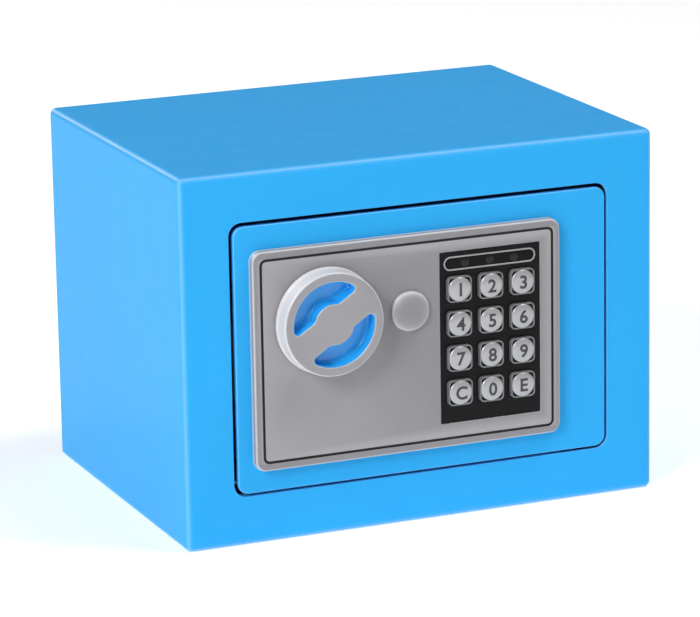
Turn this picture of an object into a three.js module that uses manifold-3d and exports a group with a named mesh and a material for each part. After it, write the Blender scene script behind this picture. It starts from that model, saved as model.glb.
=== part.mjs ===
// A small electronic safe used as a coin bank: a bent steel box with an inset swing door, a keypad lock,
// a knob that throws two sliding bolts, an emergency key lock under a round cap, and a battery box inside.
//
// Millimetres. +X is to the right of a person who faces the door, +Y runs from the door to the back,
// +Z is up.
// The origin is the middle of the underside. Every piece is drawn with y = 0 on the front face of the box and
// z = 0 on its underside, and the whole group is then moved back by half the depth.
// The pose drawn is door closed and bolts drawn in.

import * as THREE from "three";
import { RoundedBoxGeometry } from "three/addons/geometries/RoundedBoxGeometry.js";
import { mergeVertices } from "three/addons/utils/BufferGeometryUtils.js";
import Module from "manifold-3d";

// ---------------------------------------------------------------- driving dimensions

const WIDTH = 230;
const HEIGHT = 170;
const DEPTH = 170;
const WALL = 1.5; // body sheet
const FACE = 2; // front of the body, with its welded stiffening sheet
const BEND = 3; // outside radius of every bend
const GAP = 0.3; // between two pieces that fit into each other
const TOUCH = 0.1; // between two pieces that lie on each other

const MIDDLE_Z = HEIGHT / 2;
const OPENING = { width: 184, height: 125, radius: 6 };
const DOOR = { left: -90, right: 90.9, bottom: 23.6, top: 145.6, thick: 3, radius: 5, bevel: 0.8 };
const LIP = { depth: 6, thick: 1.5, clear: 1 }; // edge of the opening, folded inwards up to its corners

const HINGE = { x: 78.9, y: 5.5, pin: 2, ear: 2.5, clear: 1.5 }; // clear: from the opening to the ear
const BRACKET = { half: 8, back: 11, leg: 11, sheet: 1.5, overlap: 0.5 };
const BLOCK = { half: 6, inset: 1, height: 12, back: 9.1, pinEnd: 10 }; // on the door, round the hinge pin
const STOP = { bottom: 68, top: 102, width: 4.4, thick: 1.5, clear: 0.4 };
const MAT = { half: 112, front: 4, behind: 10, top: 3.5, clear: 1 };
const PAN = { rim: 8, corner: 0.5 };
const PANEL = { x: -8.2, z: 84.2, width: 149.4, height: 100.4, thick: 4, radius: 5 };
const MOULD = { wall: 1.8, edge: 2, bevel: 1.2 }; // the panel is a hollow moulding
const GROOVE = { inset: 3.6, width: 1, depth: 0.7 };
const KNOB = { x: -48.4, z: 100.4, radius: 23.6, height: 10, tilt: 33 }; // tilt of its bar, in degrees
const RELIEF = { window: 19.5, hub: 9.3, bar: 13, depth: 6.5 }; // the hollows in the knob's face
const SPINDLE = { radius: 4, hole: 5, boss: 6.5, inKnob: 2.4, back: 8.5 };
const LOCK = { x: -8, z: 99.8, radius: 8, collar: 9.5, bore: 4.7, back: 20 };
const PLUG = { radius: 4.4, tail: 3, front: -1.7, shoulder: 20.6, back: 24, slot: 1.4, slotHeight: 6.4 };
const KEYPAD = { x: 31.6, z: 84.8, width: 49.6, height: 79.6, radius: 0.6, flange: 1.8 };
const KEYS = { size: 11.9, radius: 2.2, pitchX: 15.5, pitchZ: 16, topZ: 107.2, rim: -5.2, top: -6.4 };
const LIGHTS = { z: 118.9, width: 44.5, height: 5.8, pitch: 12, radius: 1.5 };

const BOLT = { radius: 8, y: 15, tip: -88.5, throw: 14, chamfer: 1.2, z: [57, 113] };
const CRANK = { reach: 10.9, half: 40, pin: 3, pinEnd: 13.6 }; // turns from +half to -half degrees
const ARM = { front: 4, back: 7.5, hub: 7.5, end: 5 };
const CARRIAGE = { left: -62, right: 11, y: 10, thick: 2, bottom: 48, top: 122, arm: [72, 84], inner: -33 };
const GUIDE = { left: -79, thick: 2, foot: -68, back: 26, bottom: 44, top: 126, notch: [68, 102] };
const COIL = { half: 10, back: 20, bottom: 36, top: 58, bore: 40 };
const PLUNGER = { radius: 3, y: 12, bottom: 44.5, tip: 71.7, rise: 4, tab: [65, 67], tabBack: 23.4 };
const SPRING = { radius: 4.2, wire: 0.4, low: 58.6, high: 64.4, turns: 4 };
const CAM = { low: 8, high: 12, y: 21.2, thick: 2, eye: 6 };
const CASE = { left: -82, right: 66, bottom: 32, top: 138, back: 42, wall: 1.2, bend: 2.5 };
const BATTERY = { radius: 7.1, length: 49.5, pitch: 15.6, x: 28.5, y: 33.2, bottom: 43.5 };
const POLE = { radius: 2.7, height: 1.1 };
const ANCHOR = { x: 60, radius: 5 };
const PAST = 1; // how far a cutting tool runs past the face it cuts

// ---------------------------------------------------------------- materials

function finish(color, roughness, metalness = 0) {
  return new THREE.MeshStandardMaterial({ color, roughness, metalness });
}
const paint = finish(0x36a9f0, 0.35, 0.1);
const greyPlastic = finish(0x9c9ca0, 0.5);
const bluePlastic = finish(0x2f93e0, 0.35);
const blackPlastic = finish(0x141418, 0.4);
const darkLens = finish(0x0c0c10, 0.1);
const silverRubber = finish(0xc9c9cb, 0.45);
const darkRubber = finish(0x26262a, 0.8);
const zincSteel = finish(0xb4b7ba, 0.4, 0.9);
const blackSteel = finish(0x2c2d30, 0.45, 0.8);
const polishedSteel = finish(0xd8dadd, 0.15, 1);
const brass = finish(0xc7a24a, 0.35, 0.9);
const boardGreen = finish(0x1f5c35, 0.5);
const coilTape = finish(0x3a3a40, 0.7);
const felt = finish(0x2b2b2e, 0.95);
const jacket = finish(0x2d6b4a, 0.4);
const redLight = finish(0xd02020, 0.3);
const yellowLight = finish(0xe0b020, 0.3);
const greenLight = finish(0x20a040, 0.3);

// ---------------------------------------------------------------- solids

const wasm = await Module();
wasm.setup();

// A closed geometry as a manifold-3d solid.
function solidOf(geometry) {
  const bare = geometry.index ? geometry.toNonIndexed() : geometry.clone();
  bare.deleteAttribute("normal");
  bare.deleteAttribute("uv");
  const merged = mergeVertices(bare, 1e-4);
  return new wasm.Manifold(
    new wasm.Mesh({
      numProp: 3,
      vertProperties: merged.attributes.position.array,
      triVerts: new Uint32Array(merged.index.array),
    }),
  );
}

function geometryOf(solid) {
  const { vertProperties, triVerts } = solid.getMesh();
  const geometry = new THREE.BufferGeometry();
  geometry.setAttribute("position", new THREE.BufferAttribute(new Float32Array(vertProperties), 3));
  geometry.setIndex(new THREE.BufferAttribute(new Uint32Array(triVerts), 1));
  geometry.computeVertexNormals();
  return geometry;
}

const join = (first, ...rest) => geometryOf(rest.reduce((s, g) => s.add(solidOf(g)), solidOf(first)));
const cut = (body, ...tools) => geometryOf(tools.reduce((s, g) => s.subtract(solidOf(g)), solidOf(body)));

// ---------------------------------------------------------------- shapes

const radians = THREE.MathUtils.degToRad;

// A rectangle with round corners, in x and z.
function roundRect(width, height, radius, x = 0, z = 0) {
  const a = width / 2 - radius;
  const b = height / 2 - radius;
  const shape = new THREE.Shape();
  shape.absarc(x + a, z - b, radius, -Math.PI / 2, 0);
  shape.absarc(x + a, z + b, radius, 0, Math.PI / 2);
  shape.absarc(x - a, z + b, radius, Math.PI / 2, Math.PI);
  shape.absarc(x - a, z - b, radius, Math.PI, 1.5 * Math.PI);
  return shape;
}

// A shape in x and z, made solid from y = front to y = back. bevel rounds the edges of both faces.
function slab(shape, front, back, { curveSegments = 4, bevel = 0, bevelSegments = 2 } = {}) {
  const geometry = new THREE.ExtrudeGeometry(shape, {
    depth: back - front - 2 * bevel,
    curveSegments,
    bevelEnabled: bevel > 0,
    bevelThickness: bevel,
    bevelSize: bevel,
    bevelOffset: -bevel,
    bevelSegments,
  });
  return geometry.rotateX(Math.PI / 2).translate(0, back - bevel, 0);
}

function box(x0, x1, y0, y1, z0, z1) {
  const geometry = new THREE.BoxGeometry(x1 - x0, y1 - y0, z1 - z0);
  return geometry.translate((x0 + x1) / 2, (y0 + y1) / 2, (z0 + z1) / 2);
}

function rodY(radius, y0, y1, x, z, sides = 24) {
  return new THREE.CylinderGeometry(radius, radius, y1 - y0, sides).translate(x, (y0 + y1) / 2, z);
}

function rodX(radius, x0, x1, y, z, sides = 24) {
  const rod = new THREE.CylinderGeometry(radius, radius, x1 - x0, sides).rotateZ(Math.PI / 2);
  return rod.translate((x0 + x1) / 2, y, z);
}

function rodZ(radius, z0, z1, x, y, sides = 24) {
  const rod = new THREE.CylinderGeometry(radius, radius, z1 - z0, sides).rotateX(Math.PI / 2);
  return rod.translate(x, y, (z0 + z1) / 2);
}

// A turned piece about a line along y: profile is a list of [radius, y], from the back to the front.
function turned(profile, x, z, sides = 32) {
  const points = [...profile].reverse().map(([radius, y]) => new THREE.Vector2(radius, y));
  return new THREE.LatheGeometry(points, sides).translate(x, 0, z);
}

const safe = new THREE.Group();
safe.position.y = -DEPTH / 2;

function add(name, geometry, material) {
  const mesh = new THREE.Mesh(geometry, material);
  mesh.name = name;
  safe.add(mesh);
  return mesh;
}

// ---------------------------------------------------------------- the box

// Four walls and the front, bent from one sheet, with the opening's edge folded inwards on three sides.
// The hinge side has no fold, so that the edge of the door can turn in behind the sheet.
function bodyShell() {
  const beyond = 20;
  const outside = new RoundedBoxGeometry(WIDTH, DEPTH + beyond, HEIGHT, 2, BEND);
  outside.translate(0, (DEPTH + beyond) / 2, MIDDLE_Z);
  const inner = roundRect(WIDTH - 2 * WALL, HEIGHT - 2 * WALL, BEND - WALL, 0, MIDDLE_Z);
  const opening = roundRect(OPENING.width, OPENING.height, OPENING.radius, 0, MIDDLE_Z);
  const anchors = [-ANCHOR.x, ANCHOR.x].map((x) => rodZ(ANCHOR.radius, -PAST, WALL + PAST, x, DEPTH / 2, 16));
  const sheet = cut(
    outside,
    box(-WIDTH, WIDTH, DEPTH, DEPTH + 2 * beyond, -PAST, HEIGHT + PAST),
    slab(inner, FACE, DEPTH + PAST),
    slab(opening, -PAST, FACE + PAST),
    ...anchors,
  );
  const side = OPENING.width / 2;
  const edge = OPENING.height / 2;
  const end = side - OPENING.radius;
  const upright = edge - OPENING.radius - LIP.clear;
  const hingeEnd = HINGE.x - BRACKET.half - 2 * LIP.clear;
  return join(
    sheet,
    box(-side - LIP.thick, -side, FACE / 2, LIP.depth, MIDDLE_Z - upright, MIDDLE_Z + upright),
    box(-end, hingeEnd, FACE / 2, LIP.depth, MIDDLE_Z + edge, MIDDLE_Z + edge + LIP.thick),
    box(-end, hingeEnd, FACE / 2, LIP.depth, MIDDLE_Z - edge - LIP.thick, MIDDLE_Z - edge),
  );
}

// A shallow pan let into the back of the shell, flush with its rear edge.
function backPanel() {
  const front = DEPTH - PAN.rim;
  const width = WIDTH - 2 * WALL - 2 * TOUCH;
  const height = HEIGHT - 2 * WALL - 2 * TOUCH;
  const anchors = [-ANCHOR.x, ANCHOR.x].map((x) => rodY(ANCHOR.radius, front, DEPTH + PAST, x, MIDDLE_Z, 16));
  return cut(
    slab(roundRect(width, height, BEND - WALL, 0, MIDDLE_Z), front, DEPTH),
    slab(roundRect(width - 2 * WALL, height - 2 * WALL, PAN.corner, 0, MIDDLE_Z), front - PAST, DEPTH - WALL),
    ...anchors,
  );
}

// An angle bracket behind the front sheet, with a hole for the hinge pin. side is 1 above the door, -1 below.
function hingeBracket(side) {
  const { half, back, leg, sheet, overlap } = BRACKET;
  const near = MIDDLE_Z + side * (OPENING.height / 2 + HINGE.clear);
  const far = near + side * HINGE.ear;
  const tip = far + side * leg;
  const foot = FACE + TOUCH;
  const low = Math.min(far, tip) - overlap;
  const high = Math.max(far, tip) + overlap;
  const ear = box(HINGE.x - half, HINGE.x + half, foot, back, Math.min(near, far), Math.max(near, far));
  const upright = box(HINGE.x - half, HINGE.x + half, foot, foot + sheet, low, high);
  return cut(join(ear, upright), rodZ(HINGE.pin + GAP, near - half, near + half, HINGE.x, HINGE.y, 16));
}

// A rubber strip on the folded edge beside the bolts, which the closed door rests against.
function doorStop() {
  const { bottom, top, width, thick, clear } = STOP;
  const edge = -OPENING.width / 2 + TOUCH;
  const front = DOOR.thick + clear;
  const strip = box(edge, edge + width, front, front + thick, bottom, top);
  return join(strip, box(edge, edge + thick, front, LIP.depth, bottom, top));
}

// The mat is punched over the two holes in the floor.
function floorMat() {
  const { half, front, behind, top, clear } = MAT;
  const holes = [-ANCHOR.x, ANCHOR.x].map((x) => rodZ(ANCHOR.radius + clear, 0, top + PAST, x, DEPTH / 2, 16));
  return cut(box(-half, half, front, DEPTH - behind, WALL + TOUCH, top), ...holes);
}

add("body_shell", bodyShell(), paint);
add("back_panel", backPanel(), paint);
add("hinge_bracket_top", hingeBracket(1), paint);
add("hinge_bracket_bottom", hingeBracket(-1), paint);
add("door_stop", doorStop(), darkRubber);
add("floor_mat", floorMat(), felt);

// ---------------------------------------------------------------- the door

const DOOR_X = (DOOR.left + DOOR.right) / 2;
const DOOR_Z = (DOOR.bottom + DOOR.top) / 2;
const DOOR_BACK = DOOR.thick + TOUCH;

function doorPlate() {
  const outline = roundRect(DOOR.right - DOOR.left, DOOR.top - DOOR.bottom, DOOR.radius, DOOR_X, DOOR_Z);
  const back = DOOR.thick + PAST;
  return cut(
    slab(outline, 0, DOOR.thick, { bevel: DOOR.bevel, bevelSegments: 1 }),
    rodY(SPINDLE.hole, -PAST, back, KNOB.x, KNOB.z),
    rodY(LOCK.radius + GAP, -PAST, back, LOCK.x, LOCK.z),
    slab(roundRect(KEYPAD.width, KEYPAD.height, KEYS.radius, KEYPAD.x, KEYPAD.z), -PAST, back),
  );
}

// The block on the back of the door that carries a hinge pin in a blind hole. side as above.
function hingeBlock(side) {
  const { half, inset, height, back, pinEnd } = BLOCK;
  const edge = (side > 0 ? DOOR.top : DOOR.bottom) - side * inset;
  const inner = edge - side * height;
  const holeEnd = edge - side * (pinEnd - 2 * inset + 2 * GAP + HINGE.pin);
  const mouth = edge + side * PAST;
  return cut(
    box(HINGE.x - half, HINGE.x + half, DOOR_BACK, back, Math.min(edge, inner), Math.max(edge, inner)),
    rodZ(HINGE.pin + GAP, Math.min(holeEnd, mouth), Math.max(holeEnd, mouth), HINGE.x, HINGE.y, 16),
  );
}

function hingePin(side) {
  const near = (side > 0 ? DOOR.top : DOOR.bottom) - side * BLOCK.pinEnd;
  const far = MIDDLE_Z + side * (OPENING.height / 2 + HINGE.clear + HINGE.ear + PAST);
  return rodZ(HINGE.pin, Math.min(near, far), Math.max(near, far), HINGE.x, HINGE.y, 16);
}

add("door_plate", doorPlate(), paint);
add("hinge_block_top", hingeBlock(1), paint);
add("hinge_block_bottom", hingeBlock(-1), paint);
add("hinge_pin_top", hingePin(1), blackSteel);
add("hinge_pin_bottom", hingePin(-1), blackSteel);

// ---------------------------------------------------------------- the front panel

const PANEL_FRONT = -PANEL.thick;
const CAP_RADIUS = 7.9; // the part of the lock's cap that sits in the panel

// A moulded shell, open at the back, with a groove round its face and a hole for each control.
function frontPanel() {
  const whole = slab(
    roundRect(PANEL.width, PANEL.height, PANEL.radius, PANEL.x, PANEL.z),
    PANEL_FRONT,
    PANEL.thick,
    { bevel: MOULD.bevel },
  );
  const line = (inset) =>
    roundRect(PANEL.width - 2 * inset, PANEL.height - 2 * inset, PANEL.radius - inset / 2, PANEL.x, PANEL.z);
  const groove = cut(
    slab(line(GROOVE.inset), PANEL_FRONT - PAST, PANEL_FRONT + GROOVE.depth),
    slab(line(GROOVE.inset + GROOVE.width), PANEL_FRONT - 2 * PAST, PANEL_FRONT + 2 * PAST),
  );
  const before = PANEL_FRONT - PAST;
  const inside = PANEL_FRONT + MOULD.wall;
  const width = PANEL.width - 2 * MOULD.edge;
  const height = PANEL.height - 2 * MOULD.edge;
  const hollow = roundRect(width, height, PANEL.radius - MOULD.edge, PANEL.x, PANEL.z);
  const posts = join(
    rodY(SPINDLE.boss + WALL + 1, before, PAST, KNOB.x, KNOB.z),
    rodY(LOCK.collar + WALL + 1, before, PAST, LOCK.x, LOCK.z),
  );
  return cut(
    whole,
    box(-WIDTH, WIDTH, -TOUCH, PANEL.thick + PAST, 0, HEIGHT),
    groove,
    cut(slab(hollow, inside, PAST), posts),
    rodY(SPINDLE.boss, before, PAST, KNOB.x, KNOB.z),
    rodY(CAP_RADIUS + GAP, before, PAST, LOCK.x, LOCK.z),
    rodY(LOCK.collar + 0.5, inside, PAST, LOCK.x, LOCK.z),
    slab(roundRect(KEYPAD.width, KEYPAD.height, KEYPAD.radius, KEYPAD.x, KEYPAD.z), before, PAST),
  );
}

const KEY_NAMES = ["1", "2", "3", "4", "5", "6", "7", "8", "9", "clear", "0", "enter"];
const keyPlaces = KEY_NAMES.map((name, i) => ({
  name: "key_" + name,
  x: KEYPAD.x + ((i % 3) - 1) * KEYS.pitchX,
  z: KEYS.topZ - Math.floor(i / 3) * KEYS.pitchZ,
}));
const BEZEL_FRONT = PANEL_FRONT + 0.4;
const BEZEL_BACK = -0.7;
const BOARD_FRONT = 1.9;
const FLANGE = KEYS.size + 1.7;
const KEY_BACK = 0.3;

// The black plate in the panel's window. Its flange is held behind the panel's face.
function keypadBezel() {
  const { x: padX, z: padZ, width, height, radius, flange } = KEYPAD;
  const face = roundRect(width - GAP, height - GAP, radius, padX, padZ);
  const wide = roundRect(width + 2 * flange, height + 2 * flange, 1, padX, padZ);
  const hole = KEYS.size + 2 * GAP;
  const before = BEZEL_FRONT - PAST;
  const keyHole = ({ x, z }) => {
    const outline = roundRect(hole, hole, KEYS.radius + GAP, x, z);
    return slab(outline, before, PAST, { curveSegments: 2 });
  };
  return cut(
    join(slab(face, BEZEL_FRONT, BEZEL_BACK - 1), slab(wide, BEZEL_BACK - 1.3, BEZEL_BACK)),
    ...keyPlaces.map(keyHole),
    slab(roundRect(LIGHTS.width, LIGHTS.height, LIGHTS.height / 2, padX, LIGHTS.z), before, PAST),
  );
}

// A key: a square with round corners, a low dome that carries the figure, and a flange behind the bezel.
function key({ x, z }) {
  const { size, radius, rim, top } = KEYS;
  const half = FLANGE / 2;
  const dome = [[0, rim + 0.6], [5.4, rim + 0.6], [5.2, top + 0.6], [3, top + 0.1], [0, top]];
  return join(
    slab(roundRect(size, size, radius, x, z), rim, 0, { curveSegments: 2 }),
    box(x - half, x + half, BEZEL_BACK + TOUCH, KEY_BACK, z - half, z + half),
    turned(dome, x, z, 12),
  );
}

// The rubber sheet that the keys' flanges work in.
function keypadMat() {
  const hole = FLANGE / 2 + GAP;
  const rows = 4;
  const width = KEYPAD.width - 1.6;
  const height = (rows - 1) * KEYS.pitchZ + FLANGE + 3.9;
  const middleZ = KEYS.topZ - ((rows - 1) / 2) * KEYS.pitchZ;
  const sheet = roundRect(width, height, 2, KEYPAD.x, middleZ);
  return cut(
    slab(sheet, BEZEL_BACK + TOUCH, BOARD_FRONT - TOUCH, { curveSegments: 2 }),
    ...keyPlaces.map(({ x, z }) => {
      return box(x - hole, x + hole, BEZEL_BACK - PAST, BOARD_FRONT + PAST, z - hole, z + hole);
    }),
  );
}

function light(place) {
  const { radius, pitch, z } = LIGHTS;
  const foot = BOARD_FRONT - TOUCH;
  const profile = [[0, foot], [radius, foot], [radius, -1.2], [radius - 0.5, -2.1], [0, -2.4]];
  return turned(profile, KEYPAD.x + place * pitch, z, 12);
}

const BOARD = { inset: 1.1, insetZ: 0.9, thick: 1.6 };
const BOARD_X = [KEYPAD.x - KEYPAD.width / 2 + BOARD.inset, KEYPAD.x + KEYPAD.width / 2 - BOARD.inset];
const BOARD_Z = [KEYPAD.z - KEYPAD.height / 2 + BOARD.insetZ, KEYPAD.z + KEYPAD.height / 2 - BOARD.insetZ];
const BUZZER = { radius: 6.5, back: 10, z: 60 };
const lens = roundRect(LIGHTS.width - GAP, LIGHTS.height - GAP, (LIGHTS.height - GAP) / 2, KEYPAD.x, LIGHTS.z);

add("front_panel", frontPanel(), greyPlastic);
add("keypad_bezel", keypadBezel(), blackPlastic);
add("light_window", slab(lens, BEZEL_FRONT + 0.1, BEZEL_FRONT + 1.1), darkLens);
add("light_red", light(-1), redLight);
add("light_yellow", light(0), yellowLight);
add("light_green", light(1), greenLight);
add("keypad_mat", keypadMat(), darkRubber);
add("circuit_board", box(...BOARD_X, BOARD_FRONT, BOARD_FRONT + BOARD.thick, ...BOARD_Z), boardGreen);
const buzzerFront = BOARD_FRONT + BOARD.thick + TOUCH;
add("buzzer", rodY(BUZZER.radius, buzzerFront, BUZZER.back, KEYPAD.x, BUZZER.z), blackPlastic);
for (const place of keyPlaces) add(place.name, key(place), silverRubber);

// ---------------------------------------------------------------- knob, spindle and crank

const KNOB_BACK = PANEL_FRONT - 0.4;
const KNOB_FACE = KNOB_BACK - KNOB.height;
const KNOB_FLOOR = KNOB_FACE + RELIEF.depth;

// A cup with a bar and a hub across it. Both windows are open to the blue disc that lies at the bottom.
function knobBody() {
  const { radius, x, z } = KNOB;
  const cup = turned(
    [
      [0, KNOB_BACK],
      [radius + 0.8, KNOB_BACK],
      [radius + 0.8, KNOB_BACK - 1.8],
      [radius, KNOB_BACK - 2.6],
      [radius - 0.3, KNOB_FACE + 1],
      [radius - 1.2, KNOB_FACE],
      [0, KNOB_FACE],
    ],
    x,
    z,
    40,
  );
  const before = KNOB_FACE - 2 * PAST;
  const bar = box(-radius, radius, before, 0, -RELIEF.bar / 2, RELIEF.bar / 2);
  bar.rotateY(-radians(KNOB.tilt)).translate(x, 0, z);
  const windows = cut(
    rodY(RELIEF.window, KNOB_FACE - PAST, KNOB_FLOOR, x, z, 40),
    bar,
    rodY(RELIEF.hub, before, 0, x, z),
  );
  const under = cut(
    rodY(RELIEF.window + 2 * GAP, KNOB_FLOOR - TOUCH / 2, KNOB_BACK + PAST, x, z, 40),
    rodY(SPINDLE.boss, before, 0, x, z),
  );
  return cut(cup, windows, under, rodY(SPINDLE.radius + GAP, KNOB_FACE + SPINDLE.inKnob, 0, x, z));
}

function knobInsert() {
  const { x, z } = KNOB;
  const thick = 1.5;
  return cut(
    rodY(RELIEF.window + GAP, KNOB_FLOOR + TOUCH / 2, KNOB_FLOOR + thick, x, z, 40),
    rodY(SPINDLE.boss + GAP, KNOB_FACE, 0, x, z),
  );
}

// A crank arm with a pin that works in the upright slot of the bolt carriage.
function crank() {
  const { reach, half, pin, pinEnd } = CRANK;
  const { front, back, hub, end } = ARM;
  const arm = new THREE.Shape();
  arm.absarc(0, 0, hub, Math.PI, 2 * Math.PI);
  arm.absarc(0, reach, end, 0, Math.PI);
  const solid = cut(
    join(slab(arm, front, back, { curveSegments: 8 }), rodY(pin, back - PAST / 2, pinEnd, 0, reach, 20)),
    rodY(SPINDLE.radius + GAP, front - PAST, back + PAST, 0, 0),
  );
  return solid.rotateY(radians(half)).translate(KNOB.x, 0, KNOB.z);
}

add("knob_body", knobBody(), greyPlastic);
add("knob_insert", knobInsert(), bluePlastic);
const spindleFront = KNOB_FACE + SPINDLE.inKnob + GAP;
add("knob_spindle", rodY(SPINDLE.radius, spindleFront, SPINDLE.back, KNOB.x, KNOB.z), zincSteel);
add("crank_arm", crank(), zincSteel);

// ---------------------------------------------------------------- emergency key lock

function overrideCap() {
  const front = PANEL_FRONT - TOUCH;
  const back = -2;
  const stem = [[0, back], [CAP_RADIUS, back], [CAP_RADIUS, front]];
  const dome = [[9.2, front], [9.1, -5.2], [8, -6.5], [5.6, -7.2], [0, -7.6]];
  return turned([...stem, ...dome], LOCK.x, LOCK.z, 24);
}

function lockBarrel() {
  const { x, z, radius, collar, bore, back } = LOCK;
  const collarFront = -1.9;
  return cut(
    join(rodY(collar, collarFront, -TOUCH, x, z), rodY(radius, -PAST, back, x, z)),
    rodY(bore, collarFront - PAST, back + PAST, x, z, 16),
  );
}

function lockPlug() {
  const { x, z } = LOCK;
  const { radius, tail, front, shoulder, back, slot, slotHeight } = PLUG;
  const body = join(rodY(radius, front, shoulder, x, z, 16), rodY(tail, shoulder - PAST, back, x, z, 12));
  const tall = slotHeight / 2;
  const keyway = box(x - slot / 2, x + slot / 2, front - PAST, back / 2, z - tall, z + tall);
  return cut(body, keyway);
}

function lockNut() {
  const across = 24;
  const thick = 4;
  const nut = new THREE.CylinderGeometry(across / 2, across / 2, thick, 6);
  nut.translate(LOCK.x, DOOR_BACK + thick / 2, LOCK.z);
  return cut(nut, rodY(LOCK.radius + GAP, 0, LOCK.back, LOCK.x, LOCK.z, 28));
}

// A snail cam: its radius grows evenly through a quarter turn, from straight down round to +X.
function overrideCam() {
  const steps = 12;
  const points = [];
  for (let i = -3; i <= steps + 2; i++) {
    const share = THREE.MathUtils.clamp(i / steps, 0, 1);
    const reach = THREE.MathUtils.lerp(CAM.low, CAM.high, share);
    const angle = (i / steps) * (Math.PI / 2) - Math.PI / 2;
    points.push(new THREE.Vector2(reach * Math.cos(angle), reach * Math.sin(angle)));
  }
  const outline = new THREE.Shape(points);
  outline.absarc(0, 0, CAM.eye, radians(50), radians(210));
  const back = CAM.y + CAM.thick;
  const plate = slab(outline, CAM.y, back, { curveSegments: 8 }).translate(LOCK.x, 0, LOCK.z);
  return cut(plate, rodY(PLUG.tail + GAP, CAM.y - PAST, back + PAST, LOCK.x, LOCK.z, 16));
}

add("override_cap", overrideCap(), greyPlastic);
add("override_lock_barrel", lockBarrel(), polishedSteel);
add("override_lock_plug", lockPlug(), brass);
add("override_lock_nut", lockNut(), zincSteel);
add("override_cam", overrideCam(), zincSteel);

// ---------------------------------------------------------------- bolt work

function bolt(z) {
  const { radius, tip, chamfer } = BOLT;
  const back = CARRIAGE.left - TOUCH;
  const profile = [[0, tip], [radius - chamfer, tip], [radius, tip + chamfer], [radius, back], [0, back]];
  const body = new THREE.LatheGeometry(profile.map(([r, x]) => new THREE.Vector2(r, x)), 24);
  return body.rotateZ(-Math.PI / 2).translate(0, BOLT.y, z);
}

// A folded plate: the flange carries the bolts, the slot takes the crank pin, the arm ends at the solenoid.
function boltCarriage() {
  const { left, right, y, thick, bottom, top, arm, inner } = CARRIAGE;
  const pinX = KNOB.x + CRANK.reach * Math.sin(radians(CRANK.half));
  const slot = roundRect(2 * CRANK.pin + 3 * GAP, 14, CRANK.pin, pinX, KNOB.z + CRANK.reach - 1.2);
  const notchX = LOCK.x + BOLT.throw;
  const notch = PLUNGER.radius + 2 * GAP;
  const front = y - 2 * PAST;
  const back = y + 2 * thick;
  return cut(
    join(
      box(left, left + thick, 6, 24, bottom, top),
      box(left + 1, inner, y, y + thick, bottom, top),
      box(inner - 1, right, y, y + thick, ...arm),
    ),
    slab(slot, front, back),
    box(notchX - notch, notchX + notch, front, back, arm[0] - PAST, arm[0] + PLUNGER.rise + PAST),
  );
}

// The bracket on the back of the door that the bolts slide in.
function boltGuide() {
  const { left, thick, foot, back, bottom, top, notch } = GUIDE;
  const plate = join(
    box(left, left + thick, DOOR_BACK, back, bottom, top),
    box(left, foot, DOOR_BACK, DOOR_BACK + thick, bottom, top),
  );
  const holes = BOLT.z.map((z) => rodX(BOLT.radius + GAP, left - PAST, foot, BOLT.y, z));
  return cut(plate, ...holes, box(left + thick + PAST, foot + PAST, 0, DOOR_BACK + thick + PAST, ...notch));
}

function solenoidCoil() {
  const { half, back, bottom, top, bore } = COIL;
  const frame = box(LOCK.x - half, LOCK.x + half, DOOR_BACK + TOUCH, back, bottom, top);
  return cut(frame, rodZ(PLUNGER.radius + GAP, bore, top + PAST, LOCK.x, PLUNGER.y, 20));
}

// With the bolts in, the spring holds the plunger's tip up against the arm of the carriage. With the bolts out
// the notch is over the tip, which rises into it. The tall tab is what the emergency cam then pushes down.
function solenoidPlunger() {
  const { x, z } = LOCK;
  const { radius, y, bottom, tip, rise, tab, tabBack } = PLUNGER;
  const tabTop = z - CAM.low - rise - 0.7;
  return join(
    rodZ(radius, bottom, tip, x, y, 20),
    box(x - 5, x + 5, y - 5, tabBack, ...tab),
    box(x - radius, x + radius, tabBack - 2.4, tabBack, tab[0] + 1, tabTop),
  );
}

// A coil spring round the plunger.
function solenoidSpring() {
  const { radius, wire, low, high, turns } = SPRING;
  const perTurn = 8;
  const steps = turns * perTurn;
  const points = [];
  for (let i = 0; i <= steps; i++) {
    const angle = (i / perTurn) * 2 * Math.PI;
    const z = THREE.MathUtils.lerp(low, high, i / steps);
    points.push(new THREE.Vector3(LOCK.x + radius * Math.cos(angle), PLUNGER.y + radius * Math.sin(angle), z));
  }
  const section = new THREE.Shape().absarc(0, 0, wire, 0, 2 * Math.PI);
  const path = new THREE.CatmullRomCurve3(points);
  return new THREE.ExtrudeGeometry(section, { extrudePath: path, steps, curveSegments: 2 });
}

add("bolt_carriage", boltCarriage(), zincSteel);
add("bolt_lower", bolt(BOLT.z[0]), polishedSteel);
add("bolt_upper", bolt(BOLT.z[1]), polishedSteel);
add("bolt_guide", boltGuide(), zincSteel);
add("solenoid_coil", solenoidCoil(), coilTape);
add("solenoid_plunger", solenoidPlunger(), zincSteel);
add("solenoid_spring", solenoidSpring(), polishedSteel);

// ---------------------------------------------------------------- inner case and batteries

const POST = { x: -40, z: { bottom: 39, top: 131 }, radius: 4.6, bore: 2.1, boreFront: 33 };
const SCREW = { shank: 1.8, front: 35, head: 3.7, height: 2.2, cross: 2.2, crossWidth: 1, crossFloor: 1.2 };
const TRAY = { left: -5, right: 62, bottom: 41, top: 97, front: 24.8, back: 40.6, wall: 1.2 };
const RESET = { y: 22, z: 112, radius: 3, flange: 1.5, deep: 3, proud: 1.8 };
const WINDOW = { width: 64.8, height: 53.8, x: 28.5, z: 69 };
const COVER = { overlap: 2.5, thick: 1.6, radius: 3, bevel: 0.5, plug: 1.3 };

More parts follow.
